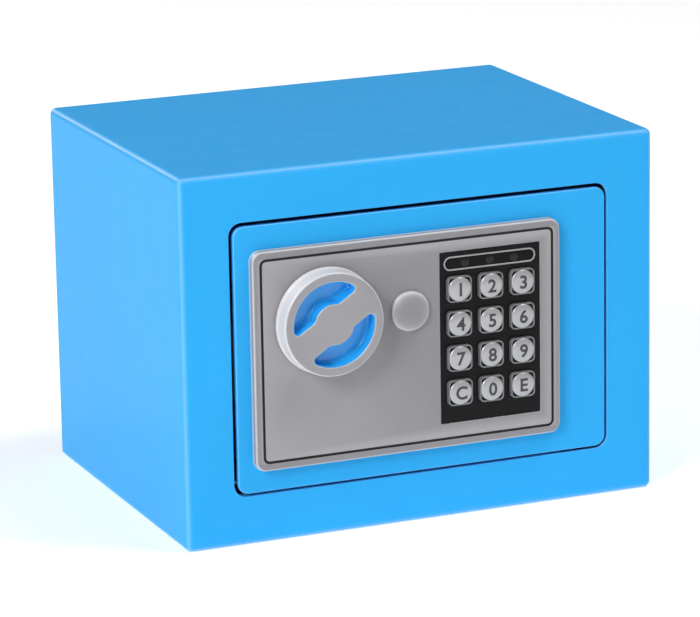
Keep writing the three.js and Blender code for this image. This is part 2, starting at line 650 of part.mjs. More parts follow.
function lockCase() {
  const { left, right, bottom, top, back, wall, bend } = CASE;
  const x = (left + right) / 2;
  const z = (bottom + top) / 2;
  const windowX = WINDOW.x;
  const half = WINDOW.width / 2;
  const tall = WINDOW.height / 2;
  const beyond = 10;
  const outside = new RoundedBoxGeometry(right - left, back + beyond, top - bottom, 2, bend);
  outside.translate(x, (back - beyond) / 2, z);
  const screwHole = SCREW.shank + 0.4;
  return cut(
    outside,
    box(-WIDTH, WIDTH, -2 * beyond, DOOR_BACK, 0, HEIGHT),
    box(left + wall, right - wall, 0, back - wall, bottom + wall, top - wall),
    ...BOLT.z.map((boltZ) => rodX(BOLT.radius + 2 * GAP, left - PAST, left + 3 * PAST, BOLT.y, boltZ)),
    ...Object.values(POST.z).map((postZ) => rodY(screwHole, back - 3 * PAST, back + PAST, POST.x, postZ, 16)),
    rodX(RESET.radius + GAP, right - 3 * PAST, right + PAST, RESET.y, RESET.z, 16),
    box(windowX - half, windowX + half, back - 3 * PAST, back + PAST, WINDOW.z - tall, WINDOW.z + tall),
  );
}

function casePost(z) {
  const back = CASE.back - CASE.wall;
  const post = new THREE.CylinderGeometry(POST.radius, POST.radius, back - 2 * TOUCH - DOOR_BACK, 6);
  post.translate(POST.x, (back + DOOR_BACK) / 2, z);
  return cut(post, rodY(POST.bore, POST.boreFront, CASE.back, POST.x, z, 16));
}

function caseScrew(z) {
  const { shank, front, head, height, cross, crossWidth, crossFloor } = SCREW;
  const seat = CASE.back + TOUCH;
  const dome = [[0, seat + height], [2, seat + height - 0.1], [head - 0.3, seat + 1.2], [head, seat]];
  const half = crossWidth / 2;
  const floor = seat + crossFloor;
  const above = seat + height + PAST;
  return cut(
    turned([...dome, [shank, seat], [shank, front], [0, front]], POST.x, z, 16),
    box(POST.x - cross, POST.x + cross, floor, above, z - half, z + half),
    box(POST.x - half, POST.x + half, floor, above, z - cross, z + cross),
  );
}

function batteryTray() {
  const { left, right, bottom, top, front, back, wall } = TRAY;
  return cut(
    box(left, right, front, back, bottom, top),
    box(left + wall, right - wall, front + wall, back + PAST, bottom + wall, top - wall),
  );
}

// A round cell with its small raised pole, which points up or down in turn.
function battery(index) {
  const { radius, length, pitch, y } = BATTERY;
  const x = BATTERY.x + (index - 1.5) * pitch;
  const up = index % 2 === 0;
  const bottom = BATTERY.bottom + (up ? 0 : POLE.height);
  const top = bottom + length;
  const end = up ? [top - PAST, top + POLE.height] : [bottom - POLE.height, bottom + PAST];
  return join(rodZ(radius, bottom, top, x, y, 20), rodZ(POLE.radius, ...end, x, y, 12));
}

function batteryCover() {
  const { x, z } = WINDOW;
  const { overlap, thick, radius, bevel, plug } = COVER;
  const back = CASE.back + TOUCH;
  const outline = roundRect(WINDOW.width + 2 * overlap, WINDOW.height + 2 * overlap, radius, x, z);
  const half = WINDOW.width / 2 - GAP;
  const tall = WINDOW.height / 2 - GAP;
  return join(
    slab(outline, back, back + thick, { bevel, bevelSegments: 1 }),
    box(x - half, x + half, back - plug, back + thick / 3, z - tall, z + tall),
  );
}

function resetButton() {
  const { y, z, radius, flange, deep, proud } = RESET;
  const wall = CASE.right - CASE.wall;
  return join(
    rodX(radius, wall - deep, CASE.right + proud, y, z, 16),
    rodX(radius + flange, wall - deep, wall - GAP, y, z, 16),
  );
}

add("lock_case", lockCase(), paint);
for (const [end, z] of Object.entries(POST.z)) {
  add("case_post_" + end, casePost(z), zincSteel);
  add("case_screw_" + end, caseScrew(z), zincSteel);
}
add("battery_tray", batteryTray(), blackPlastic);
for (let i = 0; i < 4; i++) add("battery_" + (i + 1), battery(i), jacket);
add("battery_cover", batteryCover(), blackPlastic);
add("reset_button", resetButton(), redLight);

export default safe;
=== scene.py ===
# %% [markdown]
# A small keypad safe, made as a bench full of separate pieces.
#
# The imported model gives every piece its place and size: it is the frame, and nothing here moves it. This
# lesson puts a fine surface round that frame, one piece at a time, and then its finishes and its light.
# Most pieces are bent sheet, moulded plastic or turned metal. All three are one idea: a short profile that
# is carried along a path. So a handful of small helpers makes nearly everything.

# %% Load the frame
import math

import bmesh
import bpy
import numpy as np
from mathutils import Matrix, Vector
from mathutils.geometry import tessellate_polygon


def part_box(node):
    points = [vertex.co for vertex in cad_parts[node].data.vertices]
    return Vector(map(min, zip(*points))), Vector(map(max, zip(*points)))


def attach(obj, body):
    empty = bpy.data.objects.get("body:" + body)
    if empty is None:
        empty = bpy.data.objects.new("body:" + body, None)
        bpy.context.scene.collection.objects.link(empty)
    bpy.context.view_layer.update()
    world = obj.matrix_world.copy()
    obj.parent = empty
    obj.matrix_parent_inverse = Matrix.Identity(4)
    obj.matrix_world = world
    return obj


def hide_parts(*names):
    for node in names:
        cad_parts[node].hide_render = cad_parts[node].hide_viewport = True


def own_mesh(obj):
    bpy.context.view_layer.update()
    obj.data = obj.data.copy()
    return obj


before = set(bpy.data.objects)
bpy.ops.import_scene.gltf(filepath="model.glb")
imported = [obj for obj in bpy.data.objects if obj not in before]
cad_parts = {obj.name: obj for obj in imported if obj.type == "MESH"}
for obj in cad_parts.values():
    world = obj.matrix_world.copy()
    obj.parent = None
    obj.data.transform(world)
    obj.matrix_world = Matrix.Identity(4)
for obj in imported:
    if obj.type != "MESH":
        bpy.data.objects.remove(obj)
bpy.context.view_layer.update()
MM = 0.001

# %% [markdown]
# Outlines are drawn in the plane of the door, as arrays of x and z. They all run anticlockwise as seen from
# the front, so "outwards" is always on the same side and one offset rule serves every shape.

# %% Outlines
def rounded_rectangle(width, height, radius, x=0.0, z=0.0, steps=10):
    """Four quarter circles: each is its corner's centre plus radius times (cos t, sin t)."""
    side = np.array([[1, -1], [1, 1], [-1, 1], [-1, -1]])
    centre = np.array([x, z]) + side * [width / 2 - radius, height / 2 - radius]
    turn = np.linspace(0, math.pi / 2, steps + 1)[None] + (np.arange(4)[:, None] - 1) * math.pi / 2
    arcs = centre[:, None] + radius * np.stack([np.cos(turn), np.sin(turn)], -1)
    return arcs.reshape(-1, 2)


def circle(radius, x=0.0, z=0.0, steps=96):
    """Centre plus radius times (cos t, sin t), with t one full turn."""
    turn = np.arange(steps) / steps * 2 * math.pi
    return np.array([x, z]) + radius * np.stack([np.cos(turn), np.sin(turn)], -1)


def stadium(width, height, x, z):
    """A rectangle whose ends are half circles."""
    return rounded_rectangle(width, height, height / 2 * 0.999, x, z, steps=14)


def distinct(outline):
    """Drops each point that lies on the one before it, as happens where a corner closes to a point."""
    apart = np.linalg.norm(outline - np.roll(outline, 1, axis=0), axis=1) > 1e-7
    return outline[apart]


def mitres(outline):
    """Each point's move for an offset of 1: the sum of its two edges' normals over 1 plus their product."""
    edge = np.roll(outline, -1, axis=0) - outline
    normal = np.stack([edge[:, 1], -edge[:, 0]], -1) / np.linalg.norm(edge, axis=1, keepdims=True)
    before = np.roll(normal, 1, axis=0)
    return (before + normal) / (1 + np.sum(before * normal, axis=1, keepdims=True))


def offset(outline, distance):
    """The same outline, moved outwards by a distance all round."""
    return outline + distance * mitres(outline)


print("a 96-sided circle is out of true by", round((1 - math.cos(math.pi / 96)) * 1e6), "parts in a million")

# %% [markdown]
# A surface is a grid: rows of points, each joined to the next. Carrying a profile round an outline gives
# walls and rolled edges, turning it round a line gives knobs, pins and screws, and a flat cap closes a
# plate and leaves its holes open. Every helper gives back the same three things: points, faces, and which
# finish the faces take.

# %% Grids, walls, caps and turned pieces
def grid(points, closed=True, finish=0):
    """Joins point (i, j) to (i, j+1), (i+1, j+1) and (i+1, j), and if closed the last column to the first."""
    rows, columns = points.shape[:2]
    i, j = np.meshgrid(np.arange(rows - 1), np.arange(columns if closed else columns - 1), indexing="ij")
    k = (j + 1) % columns
    faces = np.stack([i * columns + j, i * columns + k, (i + 1) * columns + k, (i + 1) * columns + j], -1)
    return points.reshape(-1, 3), faces.reshape(-1, 4), finish


def carry(outline, profile, finish=0):
    """Point (i, j) is outline point j, moved outwards by profile[i][0], at y = profile[i][1]."""
    profile = np.asarray(profile, float)
    flat = outline[None] + profile[:, :1, None] * mitres(outline)[None]
    y = np.broadcast_to(profile[:, 1:, None], flat.shape[:2] + (1,))
    return grid(np.concatenate([flat[..., :1], y, flat[..., 1:]], -1), finish=finish)


def cap(outlines, y, finish=0):
    """A flat face at one y. It fills the first outline and leaves out the others."""
    outlines = [distinct(outline) for outline in outlines]
    loops = [[Vector((x, z, 0)) for x, z in outline] for outline in outlines]
    flat = np.concatenate(outlines)
    points = np.stack([flat[:, 0], np.full(len(flat), y), flat[:, 1]], -1)
    return points, np.array(tessellate_polygon(loops)), finish


def turned(profile, centre, axis="y", steps=64, finish=0):
    """Turns (radius, distance) about a line: radius cos t, radius sin t and distance, in the axis's order."""
    profile = np.asarray(profile, float)
    turn = np.arange(steps) / steps * 2 * math.pi
    across, up = profile[:, :1] * np.cos(turn), profile[:, :1] * np.sin(turn)
    along = np.broadcast_to(profile[:, 1:], across.shape)
    order = {"x": (along, across, up), "y": (across, along, up), "z": (across, up, along)}[axis]
    return grid(np.stack(order, -1) + np.asarray(centre, float), finish=finish)


def soft(points, reach, steps=6):
    """Eases each inner corner with a curve (1-t)^2 A + 2t(1-t) corner + t^2 B, with A and B reach away."""
    points = np.asarray(points, float)
    before, corner, after = points[:-2], points[1:-1], points[2:]

    def towards(other):
        length = np.linalg.norm(other - corner, axis=1)
        return corner + (other - corner) * (np.minimum(reach, 0.45 * length) / length)[:, None]

    t = np.linspace(0, 1, steps)[:, None, None]
    curve = (1 - t) ** 2 * towards(before) + 2 * t * (1 - t) * corner + t**2 * towards(after)
    return np.concatenate([points[:1], curve.transpose(1, 0, 2).reshape(-1, 2), points[-1:]])


def quarter(start, corner, end, steps=8):
    """A quarter of a circle or ellipse: start + (corner - start) sin t + (end - corner) (1 - cos t)."""
    start, corner, end = np.asarray(start), np.asarray(corner), np.asarray(end)
    t = np.linspace(0, math.pi / 2, steps)[:, None]
    return start + (corner - start) * np.sin(t) + (end - corner) * (1 - np.cos(t))


def rim(front, back, radius, outwards=-1, steps=5):
    """The edge of a plate: a quarter circle at the front, a straight wall, a quarter circle at the back."""
    side = outwards * radius
    near = quarter((side, front), (0, front), (0, front + radius), steps)
    far = quarter((0, back - radius), (0, back), (side, back), steps)
    return np.concatenate([near, far])


def slab(outline, front, back, radius, holes=(), hole_radius=0.15 * MM, face=0, side=0):
    """A plate with softened edges and open holes. Its walls are carried rims, and two caps close it."""
    walls = [carry(outline, rim(front, back, radius), side)]
    walls += [carry(hole, rim(front, back, hole_radius, outwards=1), side) for hole in holes]
    loops = [offset(outline, -radius)] + [offset(hole, hole_radius) for hole in holes]
    return walls + [cap(loops, front, face), cap(loops, back, side)]


print("helpers: grid, carry, cap, turned, soft, rim, slab")

# %% [markdown]
# A piece is its surfaces welded into one mesh. Doubled points are merged, the faces are turned outwards,
# and edges sharper than the crease angle stay sharp. A weighted normal keeps the large flats truly flat in
# the light, so the shine stays on the rolled edges, as it does on real sheet metal.

# %% Weld a piece and put it on its body
CREASE = math.radians(38)
made = {}


def weld(name, surfaces, finishes):
    """All the surfaces in one mesh, with the faces numbered on from one surface to the next."""
    points = np.concatenate([s[0] for s in surfaces])
    starts = np.cumsum([0] + [len(s[0]) for s in surfaces[:-1]])
    faces = [[int(v + start) for v in face] for s, start in zip(surfaces, starts) for face in s[1]]
    mesh = bpy.data.meshes.new(name)
    mesh.from_pydata(points.tolist(), [], faces)
    mesh.polygons.foreach_set("material_index", np.concatenate([np.full(len(s[1]), s[2]) for s in surfaces]))
    for finish in finishes:
        mesh.materials.append(finish)
    tidy = bmesh.new()
    tidy.from_mesh(mesh)
    bmesh.ops.remove_doubles(tidy, verts=tidy.verts, dist=1e-6)
    bmesh.ops.dissolve_degenerate(tidy, edges=tidy.edges, dist=1e-7)
    bmesh.ops.recalc_face_normals(tidy, faces=tidy.faces)
    tidy.to_mesh(mesh)
    tidy.free()
    piece = bpy.data.objects.new(name, mesh)
    bpy.context.scene.collection.objects.link(piece)
    return piece


def pierce(piece, cutters):
    """Cuts holes that a carried profile can't leave open, and the screws' cross recesses."""
    for number, surfaces in enumerate(cutters):
        cutter = weld(f"{piece.name}_cutter_{number}", surfaces, [])
        hole = piece.modifiers.new("hole", "BOOLEAN")
        hole.object = cutter
        hole.solver = "EXACT"
        with bpy.context.temp_override(object=piece, active_object=piece):
            bpy.ops.object.modifier_apply(modifier=hole.name)
        bpy.data.objects.remove(cutter)
    return piece


def mark_highlight_edges(mesh):
    """Attribute "edge": 0 where the normal lies along an axis, 1 where it leans 45 degrees or more."""
    # This mask is where the finishes paint their pale edge highlight.
    normals = np.zeros(len(mesh.vertices) * 3)
    mesh.vertices.foreach_get("normal", normals)
    along = np.abs(normals.reshape(-1, 3)).max(axis=1)
    lean = np.clip((1 - along) / (1 - math.cos(math.pi / 4)), 0, 1)
    mesh.attributes.new("edge", "FLOAT", "POINT").data.foreach_set("value", lean)


def settle(piece, body, stands_for):
    """Smooths the piece, then gives it its body and the CAD nodes it stands for."""
    mesh = piece.data
    # Marks the bends and rims that take the painted edge highlight.
    mark_highlight_edges(mesh)
    mesh.polygons.foreach_set("use_smooth", np.ones(len(mesh.polygons), bool))
    mesh.set_sharp_from_angle(angle=CREASE)
    even = piece.modifiers.new("even_light", "WEIGHTED_NORMAL")
    even.keep_sharp = True
    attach(piece, body)
    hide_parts(*stands_for)
    made[piece.name] = len(mesh.polygons)
    return piece


def make(name, surfaces, finishes, body, stands_for):
    return settle(weld(name, surfaces, finishes), body, stands_for)


def middle(node):
    """The middle of a CAD node's box, and its size."""
    low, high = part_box(node)
    return (low + high) / 2, high - low


print("crease angle", round(math.degrees(CREASE)), "degrees")

# %% [markdown]
# Finishes. Every one is a Principled shader. What is the same all over, such as the coat, is set on the
# shader's own socket. What varies is a noise on Object coordinates, which are true metres here, so a grain
# of half a millimetre is written as a noise scale of two thousand. A faint large mottle keeps a broad wall
# from looking like a flat fill.

# %% One recipe for all finishes
def linear(colour):
    """A screen colour of 0 to 255 as the light it stands for: (c / 255) to the power 2.2."""
    return [(c / 255) ** 2.2 for c in colour]


def finish(name, colour, roughness, metallic=0.0, mottle=0.04, mottle_scale=14.0, grain_scale=1500.0,
           grain_depth=0.00002, grain_strength=0.25, stretch=(1, 1, 1), scuff=0.05, coat=0.0, sheen=0.0,
           edge_highlight_paint=0.0, specular=0.5):
    """Colour times 1 - mottle to 1 + mottle, roughness plus or minus scuff, a bump grain_depth metres deep.

    On the attribute "edge" the colour goes towards white by the share given for the edge highlight: a painted
    highlight on bends and rims.
    """
    colour = linear(colour)
    material = bpy.data.materials.new(name)
    material.use_nodes = True
    nodes, links = material.node_tree.nodes, material.node_tree.links
    shader = nodes["Principled BSDF"]
    place = nodes.new("ShaderNodeTexCoord")
    pull = nodes.new("ShaderNodeMapping")
    pull.inputs["Scale"].default_value = stretch
    links.new(place.outputs["Object"], pull.inputs["Vector"])

    def noise(scale, detail):
        cloud = nodes.new("ShaderNodeTexNoise")
        cloud.inputs["Scale"].default_value = scale
        cloud.inputs["Detail"].default_value = detail
        links.new(pull.outputs["Vector"], cloud.inputs["Vector"])
        return cloud.outputs["Fac"]

    def spread(value, low, high):
        band = nodes.new("ShaderNodeMapRange")
        band.inputs["From Min"].default_value, band.inputs["From Max"].default_value = 0.3, 0.7
        band.inputs["To Min"].default_value, band.inputs["To Max"].default_value = low, high
        links.new(value, band.inputs["Value"])
        return band.outputs["Result"]

    colours = nodes.new("ShaderNodeMix")
    colours.data_type = "RGBA"
    colours.inputs["A"].default_value = [c * (1 - mottle) for c in colour] + [1]
    colours.inputs["B"].default_value = [min(c * (1 + mottle), 1) for c in colour] + [1]
    links.new(spread(noise(mottle_scale, 4), 0, 1), colours.inputs["Factor"])
    highlight_mix = nodes.new("ShaderNodeMix")
    highlight_mix.data_type = "RGBA"
    # The pale edge colour is a painted highlight, laid on the bends and rims by the mesh's "edge" mask.
    highlight_mix.inputs["B"].default_value = [c + (1 - c) * edge_highlight_paint for c in colour] + [1]
    links.new(colours.outputs["Result"], highlight_mix.inputs["A"])
    edge = nodes.new("ShaderNodeAttribute")
    edge.attribute_name = "edge"
    links.new(edge.outputs["Fac"], highlight_mix.inputs["Factor"])
    links.new((highlight_mix if edge_highlight_paint else colours).outputs["Result"], shader.inputs["Base Color"])
    worn = spread(noise(mottle_scale * 9, 5), roughness - scuff, roughness + scuff)
    links.new(worn, shader.inputs["Roughness"])
    bump = nodes.new("ShaderNodeBump")
    bump.inputs["Strength"].default_value = grain_strength
    bump.inputs["Distance"].default_value = grain_depth
    links.new(noise(grain_scale, 3), bump.inputs["Height"])
    links.new(bump.outputs["Normal"], shader.inputs["Normal"])
    shader.inputs["Metallic"].default_value = metallic
    shader.inputs["Specular IOR Level"].default_value = specular
    shader.inputs["Coat Weight"].default_value = coat
    shader.inputs["Coat Roughness"].default_value = 0.12
    shader.inputs["Sheen Weight"].default_value = sheen
    return material


print("one recipe, with a thin pale edge where a finish asks for it")

# %% [markdown]
# The steel is powder coated. Powder melts into a skin that is even in colour but never quite level: it has
# the faint swell of orange peel, about a millimetre across, under a soft gloss. The lock panel is spark-
# textured plastic with a much finer grain, and the keys carry a silver lacquer.

# %% Finishes of the outside
# Where a finish is given an edge highlight share, its bends and rims are painted paler: a painted highlight.
blue_coat = finish("blue_powder_coat", (48, 168, 238), 0.34, mottle=0.012, mottle_scale=9, grain_scale=900,
                   grain_depth=0.00003, grain_strength=0.15, scuff=0.03, edge_highlight_paint=0.14, specular=0.1)
grey_shell = finish("grey_moulded_plastic", (134, 133, 137), 0.46, mottle=0.03, grain_scale=4200,
                    grain_depth=0.00002, grain_strength=0.35, edge_highlight_paint=0.5)
knob_grey = finish("pale_grey_plastic", (147, 146, 150), 0.38, mottle=0.025, grain_scale=4200,
                   grain_depth=0.000015, grain_strength=0.3, coat=0.1, edge_highlight_paint=0.6)
# The same plastic as the knob's face, painted paler: a painted highlight on the knob's lit side.
lit_knob_grey = finish("knob_grey_painted_lit", (212, 211, 214), 0.34, mottle=0.02, grain_scale=4200,
                    grain_depth=0.000015, grain_strength=0.3, coat=0.1, edge_highlight_paint=0.3)
line_black = finish("black_line_paint", (38, 36, 40), 0.5, grain_scale=3000)
knob_blue = finish("blue_moulded_plastic", (46, 168, 236), 0.3, mottle=0.05, grain_scale=2500,
                   grain_depth=0.00001, coat=0.3)
keypad_black = finish("black_bezel_plastic", (12, 12, 15), 0.42, mottle=0.15, grain_scale=3800,
                      grain_depth=0.000015, grain_strength=0.3, specular=0.2)
outline_grey = finish("grey_printed_line", (150, 150, 153), 0.45, grain_scale=3000)
lens_black = finish("smoked_lens", (10, 10, 13), 0.25, mottle=0.1, grain_scale=600, grain_depth=0.000004,
                    specular=0.15)
lamp_smoke = finish("lamp_behind_lens", (30, 30, 34), 0.35, mottle=0.1, specular=0.3)
key_silver = finish("silver_key_lacquer", (172, 172, 174), 0.3, metallic=0.3, mottle=0.03, grain_scale=5200,
                    grain_depth=0.00001, scuff=0.01, coat=0.15)
key_rim = finish("grey_key_rim", (112, 112, 114), 0.4, grain_scale=4200, grain_depth=0.00001)
key_ink = finish("key_ink", (62, 62, 65), 0.5, grain_scale=4000, grain_depth=0.000005)
print("outside finishes ready")

# %% [markdown]
# Inside are plated and turned metals, a felt mat and the cells. Brushed metal is the same noise pulled
# long: scaled down along the line of the brush, so each spot becomes a streak.

# %% Finishes of the inside
zinc = finish("zinc_plated_steel", (196, 199, 204), 0.34, metallic=1, mottle=0.08, mottle_scale=60,
              grain_scale=500, grain_depth=0.00001, stretch=(1, 0.08, 1))
# Blackened steel for the hinge pins: a real finish, chosen dark so the pins sink into the door gap as painted
# shade.
pin_black_gap_shade = finish("blackened_steel_gap_shade", (42, 43, 46), 0.4, metallic=0.8, mottle=0.1, mottle_scale=70,
                     grain_scale=700, grain_depth=0.000008)
bright_steel = finish("polished_steel", (222, 224, 227), 0.16, metallic=1, mottle=0.03, mottle_scale=80,
                      grain_scale=900, grain_depth=0.000005, stretch=(0.05, 1, 1))
turned_brass = finish("turned_brass", (206, 172, 92), 0.3, metallic=1, mottle=0.06, mottle_scale=90,
                      grain_scale=1200, grain_depth=0.000008)
black_abs = finish("black_battery_plastic", (30, 30, 34), 0.5, mottle=0.12, grain_scale=3200,
                   grain_depth=0.00002, grain_strength=0.4)
# Black rubber for the key mat, and for the door stop, where its black also stands in for the shade in the
# door gap.
rubber_and_gap_shade = finish("black_rubber_and_gap_shade", (38, 38, 41), 0.75, mottle=0.1, grain_scale=1800, grain_depth=0.00003)
board_green = finish("circuit_board_green", (22, 92, 52), 0.35, mottle=0.15, mottle_scale=160, coat=0.4)
coil_tape = finish("coil_tape", (60, 60, 66), 0.6, mottle=0.12, mottle_scale=120, stretch=(1, 1, 6))
lamp_red = finish("red_plastic", (200, 40, 38), 0.25, mottle=0.05, coat=0.4)
lamp_amber = finish("amber_plastic", (222, 170, 40), 0.25, mottle=0.05, coat=0.4)
lamp_green = finish("green_plastic", (46, 165, 70), 0.25, mottle=0.05, coat=0.4)
felt = finish("needle_felt", (52, 52, 58), 0.95, mottle=0.25, mottle_scale=420, grain_scale=2600,
              grain_depth=0.0004, grain_strength=0.9, sheen=0.5)
cell_jacket = finish("cell_jacket", (38, 98, 68), 0.3, mottle=0.05, coat=0.5)
print("inside finishes ready")

# %% [markdown]
# The box. One sheet is bent round all four sides and over the front, with the bends rolled to a 3 mm
# radius. A box with a Bevel would do for the outside, but this sheet also has an inside, a door opening and
# a folded lip. So it is carried instead: one profile runs from the front, round the bend, back along the
# wall, over the sheet's edge and forward again inside. The corner where three bends meet comes out round by
# itself.

# %% The box's sizes
shell_low, shell_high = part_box("body_shell")
WIDTH, DEPTH, HEIGHT = shell_high - shell_low
FRONT, BACK = shell_low.y, shell_high.y
MIDDLE_Z = HEIGHT / 2
WALL, FACE, BEND = 1.5 * MM, 2 * MM, 3 * MM
OPENING = {"width": 184 * MM, "height": 125 * MM, "radius": 6 * MM}
LIP = {"depth": 6 * MM, "thick": 1.5 * MM}
ANCHOR = {"x": 60 * MM, "radius": 5 * MM}
opening = rounded_rectangle(**OPENING, z=MIDDLE_Z)
print("box", [round(size / MM) for size in (WIDTH, DEPTH, HEIGHT)], "mm")

# %% Bend the box
def bend_profile(radius, inset, front, back):
    """From (-inset - radius, front) a quarter circle to the wall, then straight to the back edge."""
    bend = quarter((-inset - radius, front), (-inset, front), (-inset, front + radius), 9)
    return np.concatenate([bend, [[-inset, back]]])


outside = bend_profile(BEND, 0, FRONT, BACK)
inside = bend_profile(BEND - WALL, WALL, FRONT + FACE, BACK)
outer = rounded_rectangle(WIDTH, HEIGHT, BEND, z=MIDDLE_Z)
EDGE, BACK_EDGE, BURR = 0.25 * MM, 0.4 * MM, 0.2 * MM
FACE_BACK = FRONT + FACE
back_edge = quarter((0, BACK - BACK_EDGE), (0, BACK), (-BACK_EDGE, BACK), 5)
opening_edge = quarter((EDGE, FRONT), (0, FRONT), (0, FRONT + EDGE), 5)
box_surfaces = [
    carry(outer, np.concatenate([outside[:-1], back_edge, inside[::-1]])),
    cap([offset(outer, -BEND), offset(opening, EDGE)], FRONT),
    cap([offset(outer, -BEND), offset(opening, BURR)], FACE_BACK),
    carry(opening, [*opening_edge, (0, FACE_BACK - BURR), (BURR, FACE_BACK)]),
]
print("the bend takes", len(outside) - 1, "rows of faces")

# %% [markdown]
# The lip is a strip folded in along three sides of the opening. The hinge side has none, because the edge
# of the door turns in behind the sheet there. The strip is a short closed section carried along an open
# path.

# %% Fold the lip
left_corners = opening.reshape(4, -1, 2)[2:].reshape(-1, 2)
left_out = mitres(opening).reshape(4, -1, 2)[2:].reshape(-1, 2)
hinge_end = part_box("hinge_bracket_top")[0].x - 1 * MM
top, bottom = opening[:, 1].max(), opening[:, 1].min()
path = np.concatenate([[[hinge_end, top]], left_corners, [[hinge_end, bottom]]])
out = np.concatenate([[[0, 1]], left_out, [[0, -1]]])
lip_back, lip_thick, lip_ease = FRONT + LIP["depth"], LIP["thick"], 0.3 * MM
lip_front = FACE_BACK - lip_ease
section = np.array([
    (0, lip_front), (0, lip_back - lip_ease), (lip_ease, lip_back),
    (lip_thick - lip_ease, lip_back), (lip_thick, lip_back - lip_ease), (lip_thick, lip_front),
])


def folded_strip(path, out, section):
    """Point (i, j) is path point i, moved outwards by section[j][0], at y = section[j][1], with flat ends."""
    flat = path[:, None] + section[None, :, :1] * out[:, None]
    y = np.broadcast_to(section[None, :, 1:], flat.shape[:2] + (1,))
    points = np.concatenate([flat[..., :1], y, flat[..., 1:]], -1)
    ends = [(points[end], np.arange(len(section))[None], 0) for end in (0, -1)]
    return [grid(points), *ends]


def drill(radius, near, far, seat, axis, steps):
    """A plain cylinder from near to far along its axis, to pierce a piece with."""
    return [turned([(0, near), (radius, near), (radius, far), (0, far)], seat, axis, steps)]


anchor_places = (-ANCHOR["x"], ANCHOR["x"])
floor_holes = [drill(ANCHOR["radius"], -1 * MM, WALL + 1 * MM, (x, (FRONT + BACK) / 2, 0), "z", 48)
               for x in anchor_places]
shell = weld("safe_shell", box_surfaces, [blue_coat])
pierce(shell, floor_holes)
make("door_opening_lip", folded_strip(path, out, section), [blue_coat], "safe_body", [])
settle(shell, "safe_body", ["body_shell"])
print("shell:", made["safe_shell"], "faces; lip:", made["door_opening_lip"])

# %% [markdown]
# The back is a shallow pan, pressed so that its rim turns forwards and is welded inside the shell. It is
# the same carried profile as the box, one size smaller, with two round holes left open for wall bolts. The
# felt mat is a soft slab, and its fuzz is left to the finish, because real needle felt is only a millimetre
# or two thick.

# %% The back pan and the mat
pan_low, pan_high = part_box("back_panel")
pan = rounded_rectangle(pan_high.x - pan_low.x, pan_high.z - pan_low.z, BEND - WALL, z=MIDDLE_Z)
wall_holes = [circle(ANCHOR["radius"], x, MIDDLE_Z, 48) for x in anchor_places]
PAN_BEND, HOLE_EASE = 0.8 * MM, 0.2 * MM
pan_back, pan_face = pan_high.y, pan_high.y - WALL
pan_profile = np.concatenate([
    quarter((-PAN_BEND, pan_back), (0, pan_back), (0, pan_back - PAN_BEND), 6),
    [(0, pan_low.y), (-WALL, pan_low.y), (-WALL, pan_face)],
])
eased_holes = [offset(hole, HOLE_EASE) for hole in wall_holes]
make("back_pan", [
    carry(pan, pan_profile),
    cap([offset(pan, -PAN_BEND), *eased_holes], pan_back),
    cap([offset(pan, -WALL), *eased_holes], pan_face),
    *[carry(hole, rim(pan_face, pan_back, HOLE_EASE, 1)) for hole in wall_holes],
], [blue_coat], "safe_body", ["back_panel"])

mat_low, mat_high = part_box("floor_mat")


def flat_mat(low, high, holes, corner=3 * MM, edge=0.6 * MM, hole_edge=0.3 * MM):
    """A slab drawn in the plane of the door and then laid down: (x, y, z) becomes (x, -z, y)."""
    width, length, _ = high - low
    x, y, _ = (low + high) / 2
    surfaces = slab(rounded_rectangle(width, length, corner, x, -y), low.z, high.z, edge, holes, hole_edge)
    return [(points[:, [0, 2, 1]] * [1, -1, 1], faces, finish) for points, faces, finish in surfaces]


mat_holes = [circle(ANCHOR["radius"] + 1 * MM, x, 0, 48) for x in anchor_places]
make("felt_floor_mat", flat_mat(mat_low, mat_high, mat_holes), [felt], "safe_body", ["floor_mat"])
print("pan and mat made")

# %% [markdown]
# The door is a 3 mm plate with softened edges. The gap round it is what the eye reads first, so the plate
# keeps the CAD's exact outline and only its edge is made finer. Behind the lock panel it is cut for the
# knob, the key lock and the keypad.

# %% The door plate
door_middle, door_size = middle("door_plate")
door_low, door_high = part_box("door_plate")
door = rounded_rectangle(door_size.x, door_size.z, 5 * MM, door_middle.x, door_middle.z)
knob_middle, knob_size = middle("knob_body")
lock_middle, lock_size = middle("override_lock_barrel")
pad_middle, pad_size = middle("keypad_bezel")
FLANGE = 3.6 * MM
pad_width, pad_height = pad_size.x - FLANGE, pad_size.z - FLANGE


def openings(knob_hole, lock_hole, pad_corner, steps):
    """The three openings behind the controls, for one plate."""
    return [
        circle(knob_hole, knob_middle.x, knob_middle.z, steps),
        circle(lock_hole, lock_middle.x, lock_middle.z, steps),
        rounded_rectangle(pad_width, pad_height, pad_corner, pad_middle.x, pad_middle.z),
    ]


DOOR_EDGE = 0.8 * MM
door_holes = openings(5 * MM, 8.3 * MM, 2 * MM, 48)
make("door_leaf", slab(door, door_low.y, door_high.y, DOOR_EDGE, door_holes), [blue_coat], "door",
     ["door_plate"])
print("door leaf", round(door_size.x / MM, 1), "by", round(door_size.z / MM, 1), "mm")

# %% [markdown]
# The lock panel is a moulded tray turned face out. Its profile climbs the side, rolls over the edge, runs a
# few millimetres in, drops into a narrow groove that is painted black, and comes up to the face. The paint
# is simply a second finish on the groove's rows. The face is one flat cap, open for the knob, the key lock
# and the keypad.

